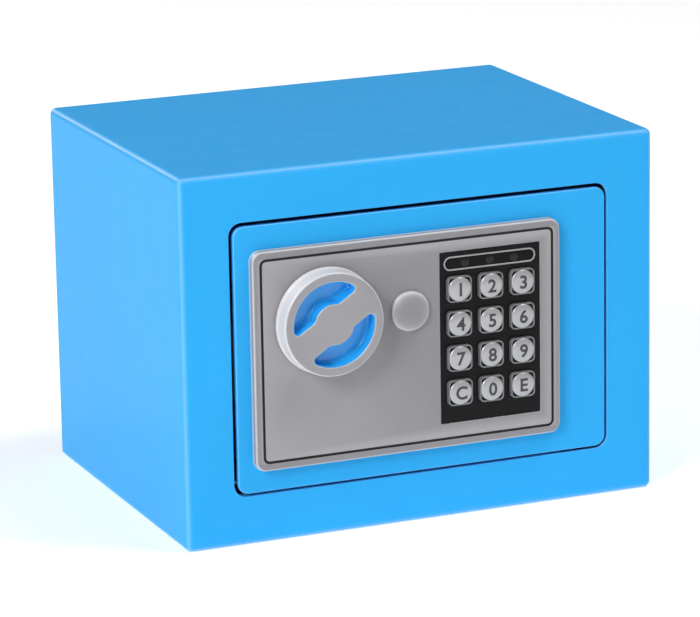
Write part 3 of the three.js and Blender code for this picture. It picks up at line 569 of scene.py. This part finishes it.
# %% The lock panel
panel_middle, panel_size = middle("front_panel")
panel_low, panel_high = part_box("front_panel")
panel = rounded_rectangle(panel_size.x, panel_size.z, 5 * MM, panel_middle.x, panel_middle.z, steps=14)
GROOVE = {"inset": 3.6 * MM, "width": 1 * MM, "depth": 0.7 * MM, "radius": 2.9 * MM, "lip": 0.12 * MM}
ROLL, SKIN, PANEL_WALL = 1.3 * MM, 1.8 * MM, 2 * MM
KNOB_BORE, FINE_EDGE = 6.5 * MM, 0.15 * MM
groove_width, groove_height = panel_size.x - 2 * GROOVE["inset"], panel_size.z - 2 * GROOVE["inset"]
groove_line = rounded_rectangle(groove_width, groove_height, GROOVE["radius"], panel_middle.x, panel_middle.z)
panel_face, panel_foot, panel_inside = panel_low.y, panel_high.y, panel_low.y + SKIN
roll = quarter((0, panel_face + ROLL), (0, panel_face), (-ROLL, panel_face))
far, groove_floor, groove_lip = -GROOVE["width"], panel_face + GROOVE["depth"], GROOVE["lip"]
groove = [(groove_lip, panel_face), (0, panel_face + groove_lip), (0, groove_floor), (far, groove_floor),
          (far, panel_face + groove_lip), (far - groove_lip, panel_face)]
behind = [(0, panel_foot), (-PANEL_WALL, panel_foot), (-PANEL_WALL, panel_inside)]
panel_holes = openings(KNOB_BORE, 8.2 * MM, 0.6 * MM, 64)
eased = [offset(hole, FINE_EDGE) for hole in panel_holes]
make("lock_panel", [
    carry(panel, [(0, panel_foot), *roll]),
    carry(groove_line, groove, finish=1),
    carry(panel, behind),
    cap([offset(panel, -ROLL), offset(groove_line, groove_lip)], panel_face),
    cap([offset(groove_line, far - groove_lip), *eased], panel_face),
    cap([offset(panel, -PANEL_WALL), *eased], panel_inside),
    *[carry(hole, rim(panel_face, panel_inside, FINE_EDGE, 1)) for hole in panel_holes],
], [grey_shell, line_black], "door", ["front_panel"])
print("panel groove runs", round(GROOVE["inset"] / MM, 1), "mm in from the edge")

# %% [markdown]
# The knob is the piece that hands use, so it gets the most care. Its side is a turned skirt, painted a paler
# grey
# than its face: a painted highlight for the light from the upper left. Its face is a flat cap with two
# windows left open, and each window's wall is carried down its own outline. That outline is worked out in the
# bar's own
# frame: the ring, the bar's straight edge and the hub, joined by fillets that touch both their neighbours.
# The
# blue insert is a separate moulding: a disc with a low trough that stands up inside each window.

# %% Two windows for the knob
KNOB = {"window": 19.5 * MM, "hub": 9.3 * MM, "bar": 13 * MM, "tilt": math.radians(33),
        "ring_fillet": 2.2 * MM, "hub_fillet": 2.5 * MM}


def arc(centre, radius, start, end, steps=12):
    """Centre plus radius times (cos t, sin t), for t from start to end."""
    turn = np.linspace(start, end, steps)
    return np.array(centre) + radius * np.stack([np.cos(turn), np.sin(turn)], -1)


def window_outline():
    """Six arcs that touch where they meet: ring, fillet, fillet, hub, fillet, fillet.

    A fillet's centre is one fillet radius above the bar. It is that far inside the ring, or outside the hub.
    """
    half, ring, hub = KNOB["bar"] / 2, KNOB["window"], KNOB["hub"]
    outer, inner = KNOB["ring_fillet"], KNOB["hub_fillet"]
    outer_x = math.sqrt((ring - outer) ** 2 - (half + outer) ** 2)
    inner_x = math.sqrt((hub + inner) ** 2 - (half + inner) ** 2)
    a, b = math.atan2(half + outer, outer_x), math.atan2(half + inner, inner_x)
    down = 1.5 * math.pi
    return distinct(np.concatenate([
        arc((0, 0), ring, a, math.pi - a, 72),
        arc((-outer_x, half + outer), outer, math.pi - a, down),
        arc((-inner_x, half + inner), inner, down, 2 * math.pi - b),
        arc((0, 0), hub, math.pi - b, b, 24),
        arc((inner_x, half + inner), inner, math.pi + b, down),
        arc((outer_x, half + outer), outer, down, 2 * math.pi + a),
    ]))


def tilted(outline, angle, x, z):
    """Turns an outline by an angle about its origin and moves it to (x, z)."""
    turn = np.array([[math.cos(angle), math.sin(angle)], [-math.sin(angle), math.cos(angle)]])
    return outline @ turn + [x, z]


windows = [tilted(window_outline(), KNOB["tilt"] + half_turn, knob_middle.x, knob_middle.z)
           for half_turn in (0, math.pi)]
print("each window's wall has", len(windows[0]), "points")

# %% The knob
knob_low, knob_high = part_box("knob_body")
disc_low, disc_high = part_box("knob_insert")
knob_radius, disc_radius = knob_size.x / 2, (disc_high.x - disc_low.x) / 2
knob_face, knob_floor, knob_back = knob_low.y, disc_low.y, knob_high.y
knob_centre = (knob_middle.x, 0, knob_middle.z)
FACE_RADIUS = knob_radius - 3.3 * MM
SKIRT = {"foot": 1.9 * MM, "step": 0.5 * MM, "waist": 2.8 * MM, "taper": 0.8 * MM, "ease": 1.2 * MM}
SKIRT_STEPS, EDGE_ROWS = 8, 5
skirt = soft([
    (KNOB_BORE, knob_back), (knob_radius, knob_back), (knob_radius, knob_back - SKIRT["foot"]),
    (knob_radius - SKIRT["step"], knob_back - SKIRT["waist"]), (knob_radius - SKIRT["taper"], knob_face),
    (FACE_RADIUS, knob_face),
], SKIRT["ease"], SKIRT_STEPS)
EASE = 0.35 * MM
window_wall = np.array([(EASE, knob_face), (0.15 * MM, knob_face + 0.06 * MM),
                        (0.03 * MM, knob_face + 0.18 * MM), (0, knob_face + EASE), (0, knob_floor)])


def knob_circle(radius, steps=128):
    """A circle about the knob's own centre."""
    return circle(radius, knob_middle.x, knob_middle.z, steps)


cup, inner_bore = knob_circle(KNOB["window"] + 0.6 * MM), knob_circle(KNOB_BORE)
cup_back = knob_back - 0.3 * MM
make("turning_knob", [
    # The skirt takes the paler copy of the knob's grey: a painted highlight.
    turned(skirt[:-EDGE_ROWS], knob_centre, steps=128, finish=1),
    turned(skirt[-EDGE_ROWS - 1:], knob_centre, steps=128),
    cap([knob_circle(FACE_RADIUS), *[offset(window, EASE) for window in windows]], knob_face),
    *[carry(window, window_wall) for window in windows],
    cap([cup, *windows], knob_floor),
    carry(cup, [(0, knob_floor), (0, cup_back)]),
    cap([cup, inner_bore], cup_back),
    carry(inner_bore, [(0, cup_back), (0, knob_back)]),
], [knob_grey, lit_knob_grey], "knob", ["knob_body"])
COVE = {"radius": 1.5 * MM, "inset": 0.35 * MM, "rise": 0.1 * MM, "gap": 0.05 * MM, "top": 0.5 * MM}
cove_edge, cove_floor = -COVE["inset"], knob_floor - COVE["rise"]
cove = quarter((cove_edge, cove_floor - COVE["radius"]), (cove_edge, cove_floor),
               (cove_edge - COVE["radius"], cove_floor))
trough_wall, trough_top = -COVE["gap"], knob_face + COVE["top"]
trough = [(trough_wall, knob_floor), (trough_wall, trough_top), (cove_edge + 0.05 * MM, trough_top), *cove,
          (cove_edge - COVE["radius"] - 0.05 * MM, knob_floor), (trough_wall, knob_floor)]
disc_bore = knob_circle(6.8 * MM, 96)
make("knob_floor_disc", [
    *slab(knob_circle(disc_radius, 96), disc_low.y + 0.02 * MM, disc_high.y, 0.1 * MM, [disc_bore]),
    *[carry(window, trough) for window in windows],
], [knob_blue], "knob", ["knob_insert"])
print("knob", round(knob_size.x / MM, 1), "mm across")

# %% [markdown]
# The cap over the key lock is a low dome. It is one turned profile: a short plug that sits in the panel, a
# flange on the panel's face, and a dome that eases into the flange.

# %% The cap over the key lock, and the lock under it
cap_low, cap_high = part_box("override_cap")
cap_middle, cap_size = middle("override_cap")
cap_radius, CAP_PLUG, CAP_FLANGE = cap_size.x / 2, 7.9 * MM, 0.6 * MM
flange_back = panel_face - 0.1 * MM
dome = quarter((0, cap_low.y), (cap_radius, cap_low.y), (cap_radius, flange_back - CAP_FLANGE), 14)
cap_profile = [*dome, (cap_radius, flange_back), (CAP_PLUG, flange_back), (CAP_PLUG, cap_high.y),
               (0, cap_high.y)]
make("key_lock_cap", [turned(cap_profile, (cap_middle.x, 0, cap_middle.z), steps=96)], [grey_shell],
     "emergency_cap", ["override_cap"])

barrel_low, barrel_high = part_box("override_lock_barrel")
barrel_radius, collar_radius, bore = 8 * MM, lock_size.x / 2, 4.7 * MM
lock_centre, collar_back = (lock_middle.x, 0, lock_middle.z), FRONT - 0.1 * MM
barrel = soft([
    (bore, barrel_low.y), (collar_radius, barrel_low.y), (collar_radius, collar_back),
    (barrel_radius, collar_back), (barrel_radius, barrel_high.y), (bore, barrel_high.y), (bore, barrel_low.y),
], 0.3 * MM)
make("key_lock_barrel", [turned(barrel, lock_centre)], [bright_steel], "door",
     ["override_lock_barrel"])
plug_low, plug_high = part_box("override_lock_plug")
PLUG = {"radius": 4.4 * MM, "chamfer": 0.2 * MM, "tail": 3 * MM, "length": 20.6 * MM}
SLOT = {"width": 1.4 * MM, "height": 6.4 * MM, "radius": 0.15 * MM, "depth": 13 * MM}
key_slot = rounded_rectangle(SLOT["width"], SLOT["height"], SLOT["radius"], lock_middle.x, lock_middle.z, 3)
plug_radius, face_radius, plug_face = PLUG["radius"], PLUG["radius"] - PLUG["chamfer"], plug_low.y
shoulder, slot_floor = FRONT + PLUG["length"], plug_face + SLOT["depth"]
make("key_lock_plug", [
    turned([(face_radius, plug_face), (plug_radius, plug_face + PLUG["chamfer"]), (plug_radius, shoulder),
            (PLUG["tail"], shoulder), (PLUG["tail"], plug_high.y), (0, plug_high.y)], lock_centre),
    cap([circle(face_radius, lock_middle.x, lock_middle.z, 64), key_slot], plug_face),
    carry(key_slot, [(0, plug_face), (0, slot_floor)]),
    cap([key_slot], slot_floor),
], [turned_brass], "emergency_key_plug", ["override_lock_plug"])
print("cap, barrel and plug made")

# %% [markdown]
# The keypad is a black plate with a window for each key and a long slot for the three lamps. The slot has a
# raised grey line round it, which is a small closed profile carried round a stadium. The smoked lens sits
# just below it, and the lamps show through as three low bumps.

# %% The keypad plate and the lens
KEY_NODES = [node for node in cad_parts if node.startswith("key_")]
KEY = {"size": 11.9 * MM, "radius": 2.2 * MM, "gap": 0.6 * MM, "window_radius": 2.5 * MM}
key_places = {node: middle(node)[0] for node in KEY_NODES}
lens_low, lens_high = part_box("light_window")
lens_middle, lens_size = middle("light_window")
window_size = KEY["size"] + KEY["gap"]
key_windows = [rounded_rectangle(window_size, window_size, KEY["window_radius"], place.x, place.z, steps=6)
               for place in key_places.values()]
PLATE_GAP, PLATE_THICK, PLATE_EDGE = 0.3 * MM, 2.6 * MM, 0.25 * MM
slot = stadium(lens_size.x + PLATE_GAP, lens_size.z + PLATE_GAP, lens_middle.x, lens_middle.z)
plate = rounded_rectangle(pad_width - PLATE_GAP, pad_height - PLATE_GAP, 0.6 * MM, pad_middle.x, pad_middle.z)
line_half, plate_face = 0.35 * MM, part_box("keypad_bezel")[0].y
line_top, line_shoulder, line_foot = plate_face - 0.18 * MM, plate_face - 0.05 * MM, plate_face + 0.3 * MM
line = [(-line_half, line_foot), (-line_half, line_shoulder), (-line_half * 0.6, line_top),
        (line_half * 0.6, line_top), (line_half, line_shoulder), (line_half, line_foot),
        (-line_half, line_foot)]
make("keypad_plate", [
    *slab(plate, plate_face, plate_face + PLATE_THICK, PLATE_EDGE, [*key_windows, slot]),
    carry(slot, line, finish=1),
], [keypad_black, outline_grey], "door", ["keypad_bezel"])

lens = stadium(lens_size.x, lens_size.z, lens_middle.x, lens_middle.z)
BUMP = {"radius": 2.1 * MM, "height": 0.35 * MM}
bump_foot = lens_low.y + 0.1 * MM
bump_crest = bump_foot - BUMP["height"]
bump = quarter((0, bump_crest), (BUMP["radius"], bump_crest), (BUMP["radius"], bump_foot))
lamps = [middle(node)[0] for node in ("light_red", "light_yellow", "light_green")]
make("smoked_window", [
    *slab(lens, lens_low.y, lens_high.y, FINE_EDGE),
    *[turned([*bump, (0, bump_foot)], (lamp.x, 0, lamp.z), finish=1) for lamp in lamps],
], [lens_black, lamp_smoke], "door", ["light_window"])
print(len(KEY_NODES), "key windows")

# %% [markdown]
# Each key is a square wafer with a pale rim. A low silver dome stands in it and reaches the middle of every
# side, so the black of the wafer shows only at its four corners. The figure is a font curve made into a
# mesh. It is moulded into the dome, and its flat top stands a few hundredths of a millimetre proud.

# %% The keys
FIGURES = {"key_clear": "C", "key_enter": "E"}
DOME_RADIUS, FLAT_RADIUS = 5.5 * MM, 3 * MM


def dome_fall(radius):
    """How far the dome has dropped: by the square of the radius, and past 3 mm by a second square as well."""
    past = np.maximum(radius - FLAT_RADIUS, 0) / (DOME_RADIUS - FLAT_RADIUS)
    return 0.14 * MM * (radius / FLAT_RADIUS) ** 2 + 0.4 * MM * past**2


def figure(symbol, x, z, y, finish, height=5.8 * MM, thick=0.11 * MM, bold=0.19 * MM):
    """A letter's outline as a low flat solid: font (x, y, z) becomes (x, -z, y), centred on its own box."""
    curve = bpy.data.curves.new("figure", "FONT")
    curve.body, curve.size, curve.resolution_u = symbol, height / 0.7, 6
    curve.extrude, curve.offset = thick, bold
    holder = bpy.data.objects.new("figure", curve)
    bpy.context.scene.collection.objects.link(holder)
    mesh = bpy.data.meshes.new_from_object(holder.evaluated_get(bpy.context.evaluated_depsgraph_get()))
    flat = np.zeros(len(mesh.vertices) * 3)
    mesh.vertices.foreach_get("co", flat)
    flat = flat.reshape(-1, 3)
    flat[:, :2] -= (flat[:, :2].min(0) + flat[:, :2].max(0)) / 2
    faces = [list(polygon.vertices) for polygon in mesh.polygons]
    bpy.data.objects.remove(holder)
    return np.stack([flat[:, 0] + x, y - flat[:, 2], flat[:, 1] + z], -1), faces, finish


def key_dome(top, foot):
    """The dome's profile from its middle to a rounded edge, then straight down to its foot."""
    radius = np.linspace(0, DOME_RADIUS - 0.2 * MM, 16)
    dome = np.stack([radius, top + dome_fall(radius)], -1)
    edge = dome[-1, 1]
    return np.concatenate([dome, [(DOME_RADIUS, edge + 0.25 * MM), (DOME_RADIUS, foot), (0, foot)]])


def rim_profile(front, foot):
    """The raised rim's section: up the outside, over a rounded front and down the inside to its foot."""
    return [(0, foot), (0, front + 0.25 * MM), (-0.08 * MM, front + 0.07 * MM), (-0.2 * MM, front),
            (-0.6 * MM, front), (-0.74 * MM, front + 0.15 * MM), (-0.78 * MM, foot), (0, foot)]


RIM_DROP, WAFER_DROP, INK_DROP = 0.95 * MM, 1.45 * MM, 0.09 * MM
KEY_FINISHES = [key_silver, key_rim, keypad_black, key_ink]
SILVER, RIM, BLACK, INK = range(4)
for node, place in key_places.items():
    low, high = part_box(node)
    floor = low.y + WAFER_DROP
    wafer = rounded_rectangle(KEY["size"], KEY["size"], KEY["radius"], place.x, place.z, steps=7)
    symbol = FIGURES.get(node, node.removeprefix("key_"))
    make(node + "_cap", [
        *slab(wafer, floor, high.y, 0.05 * MM, face=BLACK, side=RIM),
        carry(wafer, rim_profile(low.y + RIM_DROP, floor + 0.3 * MM), RIM),
        turned(key_dome(low.y, floor + 0.2 * MM), (place.x, 0, place.z), steps=56, finish=SILVER),
        figure(symbol, place.x, place.z, low.y + INK_DROP, INK),
    ], KEY_FINISHES, node + "_cap", [node])
print("key faces:", made["key_8_cap"])

# %% [markdown]
# The bolts, hinge pins and the reset button are bar stock turned on a lathe. Each is a radius and a length
# with its corners broken, which is what a file does to a real one.

# %% Turned bars
def bar(name, node, axis, finishes, body, break_edge, steps=64):
    """A round bar that fills its node's box, with both ends' corners broken at 45 degrees."""
    centre, size = middle(node)
    index = "xyz".index(axis)
    radius = size[(index + 1) % 3] / 2
    near, far = centre[index] - size[index] / 2, centre[index] + size[index] / 2
    seat = [centre[i] if i != index else 0 for i in range(3)]
    profile = soft([(0, near), (radius - break_edge, near), (radius, near + break_edge),
                    (radius, far - break_edge), (radius - break_edge, far), (0, far)], break_edge * 0.3)
    return make(name, [turned(profile, seat, axis, steps)], finishes, body, [node])


for place in ("upper", "lower"):
    bar(f"locking_bolt_{place}", f"bolt_{place}", "x", [bright_steel], "bolts",
        1.1 * MM, 80)
# The pins are blackened partly as painted shade, so they stay dark in the door gap.
for place in ("top", "bottom"):
    bar(f"pivot_pin_{place}", f"hinge_pin_{place}", "z", [pin_black_gap_shade], "door", 0.4 * MM, 40)
button_middle, button_size = middle("reset_button")
button_low, button_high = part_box("reset_button")
button_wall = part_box("lock_case")[1].x - 1.5 * MM
flange_radius, BUTTON_RADIUS = button_size.y / 2, 3 * MM
button = soft([
    (0, button_low.x), (flange_radius, button_low.x), (flange_radius, button_wall),
    (BUTTON_RADIUS, button_wall), (BUTTON_RADIUS, button_high.x), (0, button_high.x),
], 0.5 * MM)
make("reset_push_button", [turned(button, (0, button_middle.y, button_middle.z), "x", 48)], [lamp_red],
     "reset", ["reset_button"])
print("bars turned")

# %% [markdown]
# The case on the back of the door hides the bolt work. It is folded sheet like the box, so it has the same
# rolled bends. Its back is a cap with a window for the batteries and two screw holes. The bolts and the
# reset button come out through its sides, and those holes are pierced.

# %% The lock case
case_low, case_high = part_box("lock_case")
case_middle, case_size = middle("lock_case")
CASE_BEND, CASE_WALL = 2.5 * MM, 1.2 * MM
case = rounded_rectangle(case_size.x, case_size.z, CASE_BEND, case_middle.x, case_middle.z)
case_back, case_ceiling = case_high.y, case_high.y - CASE_WALL


def case_bend(radius, inset, back):
    """A quarter circle from the flat back, (-inset - radius, back), to the wall, (-inset, back - radius)."""
    return quarter((-inset - radius, back), (-inset, back), (-inset, back - radius))


cover_middle, cover_size = middle("battery_cover")
COVER_OVERLAP = 5 * MM
battery_window = rounded_rectangle(cover_size.x - COVER_OVERLAP, cover_size.z - COVER_OVERLAP, 1 * MM,
                                   cover_middle.x, cover_middle.z)
screw_places = [middle(node)[0] for node in ("case_screw_bottom", "case_screw_top")]
case_holes = [battery_window, *[circle(2.2 * MM, place.x, place.z, 32) for place in screw_places]]
case_eased = [offset(hole, HOLE_EASE) for hole in case_holes]
case_profile = np.concatenate([
    case_bend(CASE_BEND, 0, case_back),
    [(0, case_low.y), (-CASE_WALL, case_low.y)],
    case_bend(CASE_BEND - CASE_WALL, CASE_WALL, case_ceiling)[::-1],
])
case_piece = weld("lock_work_case", [
    carry(case, case_profile),
    cap([offset(case, -CASE_BEND), *case_eased], case_back),
    cap([offset(case, -CASE_BEND), *case_eased], case_ceiling),
    *[carry(hole, rim(case_ceiling, case_back, HOLE_EASE, 1)) for hole in case_holes],
], [blue_coat])
BOLT_HOLE, BUTTON_HOLE, DRILL_REACH = 8.6 * MM, 3.3 * MM, 3 * MM
side_holes = [(middle(node)[0], case_low.x, BOLT_HOLE) for node in ("bolt_upper", "bolt_lower")]
side_holes.append((button_middle, case_high.x, BUTTON_HOLE))
pierce(case_piece, [drill(radius, x - DRILL_REACH, x + DRILL_REACH, (0, place.y, place.z), "x", 64)
                    for place, x, radius in side_holes])
settle(case_piece, "door", ["lock_case"])
print("lock case:", made["lock_work_case"], "faces")

# %% [markdown]
# Two pan-head screws hold the case. The head is turned, and its cross recess is cut with a plus-shaped
# plate. The battery cover is a moulded plate with five grip ribs, and the cells behind it are turned: a
# sleeve, two bright ends and a pole.

# %% Screws, cover and cells
def plus(reach, half, x, z):
    """A plus sign: twelve corners, each arm 2 * half wide and reach long."""
    arm = np.array([(reach, -half), (reach, half), (half, half)])
    quarter = np.array([[0, 1], [-1, 0]])
    return np.concatenate([arm @ np.linalg.matrix_power(quarter, turns) for turns in range(4)]) + [x, z]


SHANK, seat = 1.8 * MM, case_back + 0.1 * MM
CROSS = {"reach": 2.2 * MM, "half": 0.5 * MM, "depth": 1.2 * MM}
for node in ("case_screw_bottom", "case_screw_top"):
    low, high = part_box(node)
    place, head = (low + high) / 2, (high.x - low.x) / 2
    shape = soft([(0, high.y), (head * 0.6, high.y - 0.15 * MM), (head, seat + 0.8 * MM), (head, seat),
                  (SHANK, seat), (SHANK, low.y), (0, low.y)], 0.5 * MM)
    name = node.replace("case_screw", "pan_head_screw")
    screw = weld(name, [turned(shape, (place.x, 0, place.z), steps=56)], [zinc])
    cross_outline = plus(CROSS["reach"], CROSS["half"], place.x, place.z)
    cross = slab(cross_outline, high.y - CROSS["depth"], high.y + 1 * MM, 0.05 * MM)
    settle(pierce(screw, [cross]), "door", [node])

cover_low, cover_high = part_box("battery_cover")
cover = rounded_rectangle(cover_size.x, cover_size.z, 3 * MM, cover_middle.x, cover_middle.z)
RIB = {"count": 5, "pitch": 3.2 * MM, "start": 8 * MM, "length": 22 * MM, "width": 1.2 * MM}
rib_places = [cover_low.z + RIB["start"] + number * RIB["pitch"] for number in range(RIB["count"])]
ribs = [slab(stadium(RIB["length"], RIB["width"], cover_middle.x, z), cover_high.y - 0.3 * MM,
             cover_high.y + 0.5 * MM, 0.3 * MM) for z in rib_places]
inner_lid = offset(battery_window, -0.5 * MM)
make("battery_lid", [
    *slab(cover, seat, cover_high.y, 0.5 * MM),
    *slab(inner_lid, cover_low.y, case_back + 0.4 * MM, 0.2 * MM),
    *[surface for rib in ribs for surface in rib],
], [black_abs], "battery_door", ["battery_cover"])

def cell_profiles(radius, length, pole):
    """A cell's foot, sleeve and pole, as (radius, height) points, each with its finish's number."""
    crimp, shoulder, top = radius - 0.5 * MM, length - 0.1 * MM, length + pole
    foot_end = [(0, 0), (4.4 * MM, 0), (crimp, 0.25 * MM), (radius, 0.6 * MM)]
    sleeve = [(radius, 0.6 * MM), (radius, length - 0.7 * MM), (crimp, shoulder)]
    pole_end = [(crimp, shoulder), (2.9 * MM, length), (2.7 * MM, top - 0.2 * MM), (2.4 * MM, top), (0, top)]
    return (foot_end, 1), (sleeve, 0), (pole_end, 1)


POLE = 1.1 * MM
for number in range(1, 5):
    node = f"battery_{number}"
    low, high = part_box(node)
    place, radius = (low + high) / 2, (high.x - low.x) / 2
    foot, sign = (low.z, 1) if number % 2 == 1 else (high.z, -1)
    parts = [turned([(r, foot + sign * d) for r, d in profile], (place.x, place.y, 0), "z", 56, finish)
             for profile, finish in cell_profiles(radius, high.z - low.z - POLE, POLE)]
    make(f"cell_{number}", parts, [cell_jacket, bright_steel], "door", [node])
print("cells", round(radius * 2 / MM, 1), "mm across")

# %% [markdown]
# What is left keeps its CAD shape, which is already right: brackets, plates and levers cut from flat stock.
# They only need their finishes, given here in one table.

# %% Finishes of the pieces that keep their CAD shape
KEPT = {
    blue_coat: ["hinge_bracket_top", "hinge_bracket_bottom", "hinge_block_top", "hinge_block_bottom"],
    zinc: ["knob_spindle", "crank_arm", "override_lock_nut", "override_cam", "bolt_carriage", "bolt_guide",
           "solenoid_plunger", "case_post_bottom", "case_post_top"],
    bright_steel: ["solenoid_spring"],
    coil_tape: ["solenoid_coil"],
    black_abs: ["buzzer", "battery_tray"],
    # The door stop is a rubber bumper, and its black is also painted shade that keeps the door gap dark.
    rubber_and_gap_shade: ["keypad_mat", "door_stop"],
    board_green: ["circuit_board"],
    lamp_red: ["light_red"],
    lamp_amber: ["light_yellow"],
    lamp_green: ["light_green"],
}
for kept_finish, nodes in KEPT.items():
    for node in nodes:
        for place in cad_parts[node].material_slots:
            place.material = kept_finish
print(sum(map(len, KEPT.values())), "pieces keep their CAD shape")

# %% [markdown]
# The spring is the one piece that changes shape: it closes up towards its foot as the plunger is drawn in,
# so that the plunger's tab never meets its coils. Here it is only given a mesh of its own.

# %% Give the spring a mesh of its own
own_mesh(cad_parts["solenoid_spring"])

# %% [markdown]
# A pale sweep stands in for a studio: a floor that curves up into a wall far behind, so no horizon shows.
# It is a profile drawn straight across. Soft boxes do the lighting. The big one stands to the left, because
# that wall of the safe is the brightest and every bend on that side should carry a light line.

# %% The sweep
SWEEP = {"half_width": 6.0, "near": -5.0, "far": 4.0, "rise": 5.0, "bend": 1.5}
wall = SWEEP["far"] + SWEEP["bend"]
curve = quarter((SWEEP["far"], 0), (wall, 0), (wall, SWEEP["bend"]), 24)
ground = np.concatenate([[(SWEEP["near"], 0)], curve, [(wall, SWEEP["rise"])]])
sides = (-SWEEP["half_width"], SWEEP["half_width"])
wide = np.array([[(x, y, z) for x in sides] for y, z in ground])
sweep = weld("studio_sweep", [grid(wide, closed=False)], [])
pale = bpy.data.materials.new("pale_sweep")
pale.use_nodes = True
paper = pale.node_tree.nodes["Principled BSDF"].inputs
paper["Base Color"].default_value = (0.9, 0.9, 0.9, 1)
paper["Roughness"].default_value = 0.9
paper["Emission Color"].default_value = (1, 1, 1, 1)
place = pale.node_tree.nodes.new("ShaderNodeTexCoord")
distance = pale.node_tree.nodes.new("ShaderNodeVectorMath")
distance.operation = "LENGTH"
glow = pale.node_tree.nodes.new("ShaderNodeMapRange")
for key, value in {"From Min": 1.6, "From Max": 3.6, "To Min": 0.40, "To Max": 0.0}.items():
    glow.inputs[key].default_value = value
pale.node_tree.links.new(place.outputs["Object"], distance.inputs[0])
pale.node_tree.links.new(distance.outputs["Value"], glow.inputs["Value"])
pale.node_tree.links.new(glow.outputs["Result"], paper["Emission Strength"])
sweep.data.materials.append(pale)
sweep.data.polygons.foreach_set("use_smooth", np.ones(len(sweep.data.polygons), bool))
print("sweep", 2 * SWEEP["half_width"], "m wide")

# %% The lights
world = bpy.data.worlds.new("soft_room")
world.use_nodes = True
world.node_tree.nodes["Background"].inputs["Color"].default_value = (1, 1, 1, 1)
world.node_tree.nodes["Background"].inputs["Strength"].default_value = 0.14
bpy.context.scene.world = world
target = Vector((0, 0, MIDDLE_Z))


def soft_box(name, place, size, watts):
    """A square area light that faces the middle of the safe."""
    light = bpy.data.lights.new(name, "AREA")
    light.size, light.energy = size, watts
    lamp = bpy.data.objects.new(name, light)
    lamp.location = place
    lamp.rotation_euler = (target - lamp.location).to_track_quat("-Z", "Y").to_euler()
    bpy.context.scene.collection.objects.link(lamp)
    return lamp


soft_box("key_box", Vector((-1.90, -1.40, 1.55)), 0.9, 41)
soft_box("low_left_box", Vector((-1.90, -0.85, 0.36)), 0.7, 5)
soft_box("overhead_box", Vector((0.99, -0.65, 2.40)), 0.8, 34)
soft_box("rear_box", Vector((-0.65, 2.30, 1.07)), 0.7, 10)
bpy.context.scene.view_settings.view_transform = "Standard"
print("four soft boxes")

# %% [markdown]
# The camera stands well back with a long lens, low on the left, and a little out of level. Its axes are
# worked out from three angles: azimuth and elevation aim it, and the roll turns it about its own line of
# sight.

# %% The camera
CAMERA = {"place": Vector((-0.7092, -1.6990, 0.5573)), "azimuth": -22.669, "elevation": 14.559,
          "roll": -0.982, "lens": 209.4}
azimuth, elevation, roll_angle = (math.radians(CAMERA[key]) for key in ("azimuth", "elevation", "roll"))
level = math.cos(elevation)
back = Vector((math.sin(azimuth) * level, -math.cos(azimuth) * level, math.sin(elevation)))
right = Vector((math.cos(azimuth), math.sin(azimuth), 0))
up = back.cross(right)
right, up = (right * math.cos(roll_angle) + up * math.sin(roll_angle),
             up * math.cos(roll_angle) - right * math.sin(roll_angle))
camera_data = bpy.data.cameras.new("camera")
camera_data.sensor_width = 36
camera_data.lens = CAMERA["lens"]
camera = bpy.data.objects.new("camera", camera_data)
camera.matrix_world = Matrix.Translation(CAMERA["place"]) @ Matrix((right, up, back)).transposed().to_4x4()
bpy.context.scene.collection.objects.link(camera)
bpy.context.scene.camera = camera
print("lens", round(camera_data.lens), "mm")
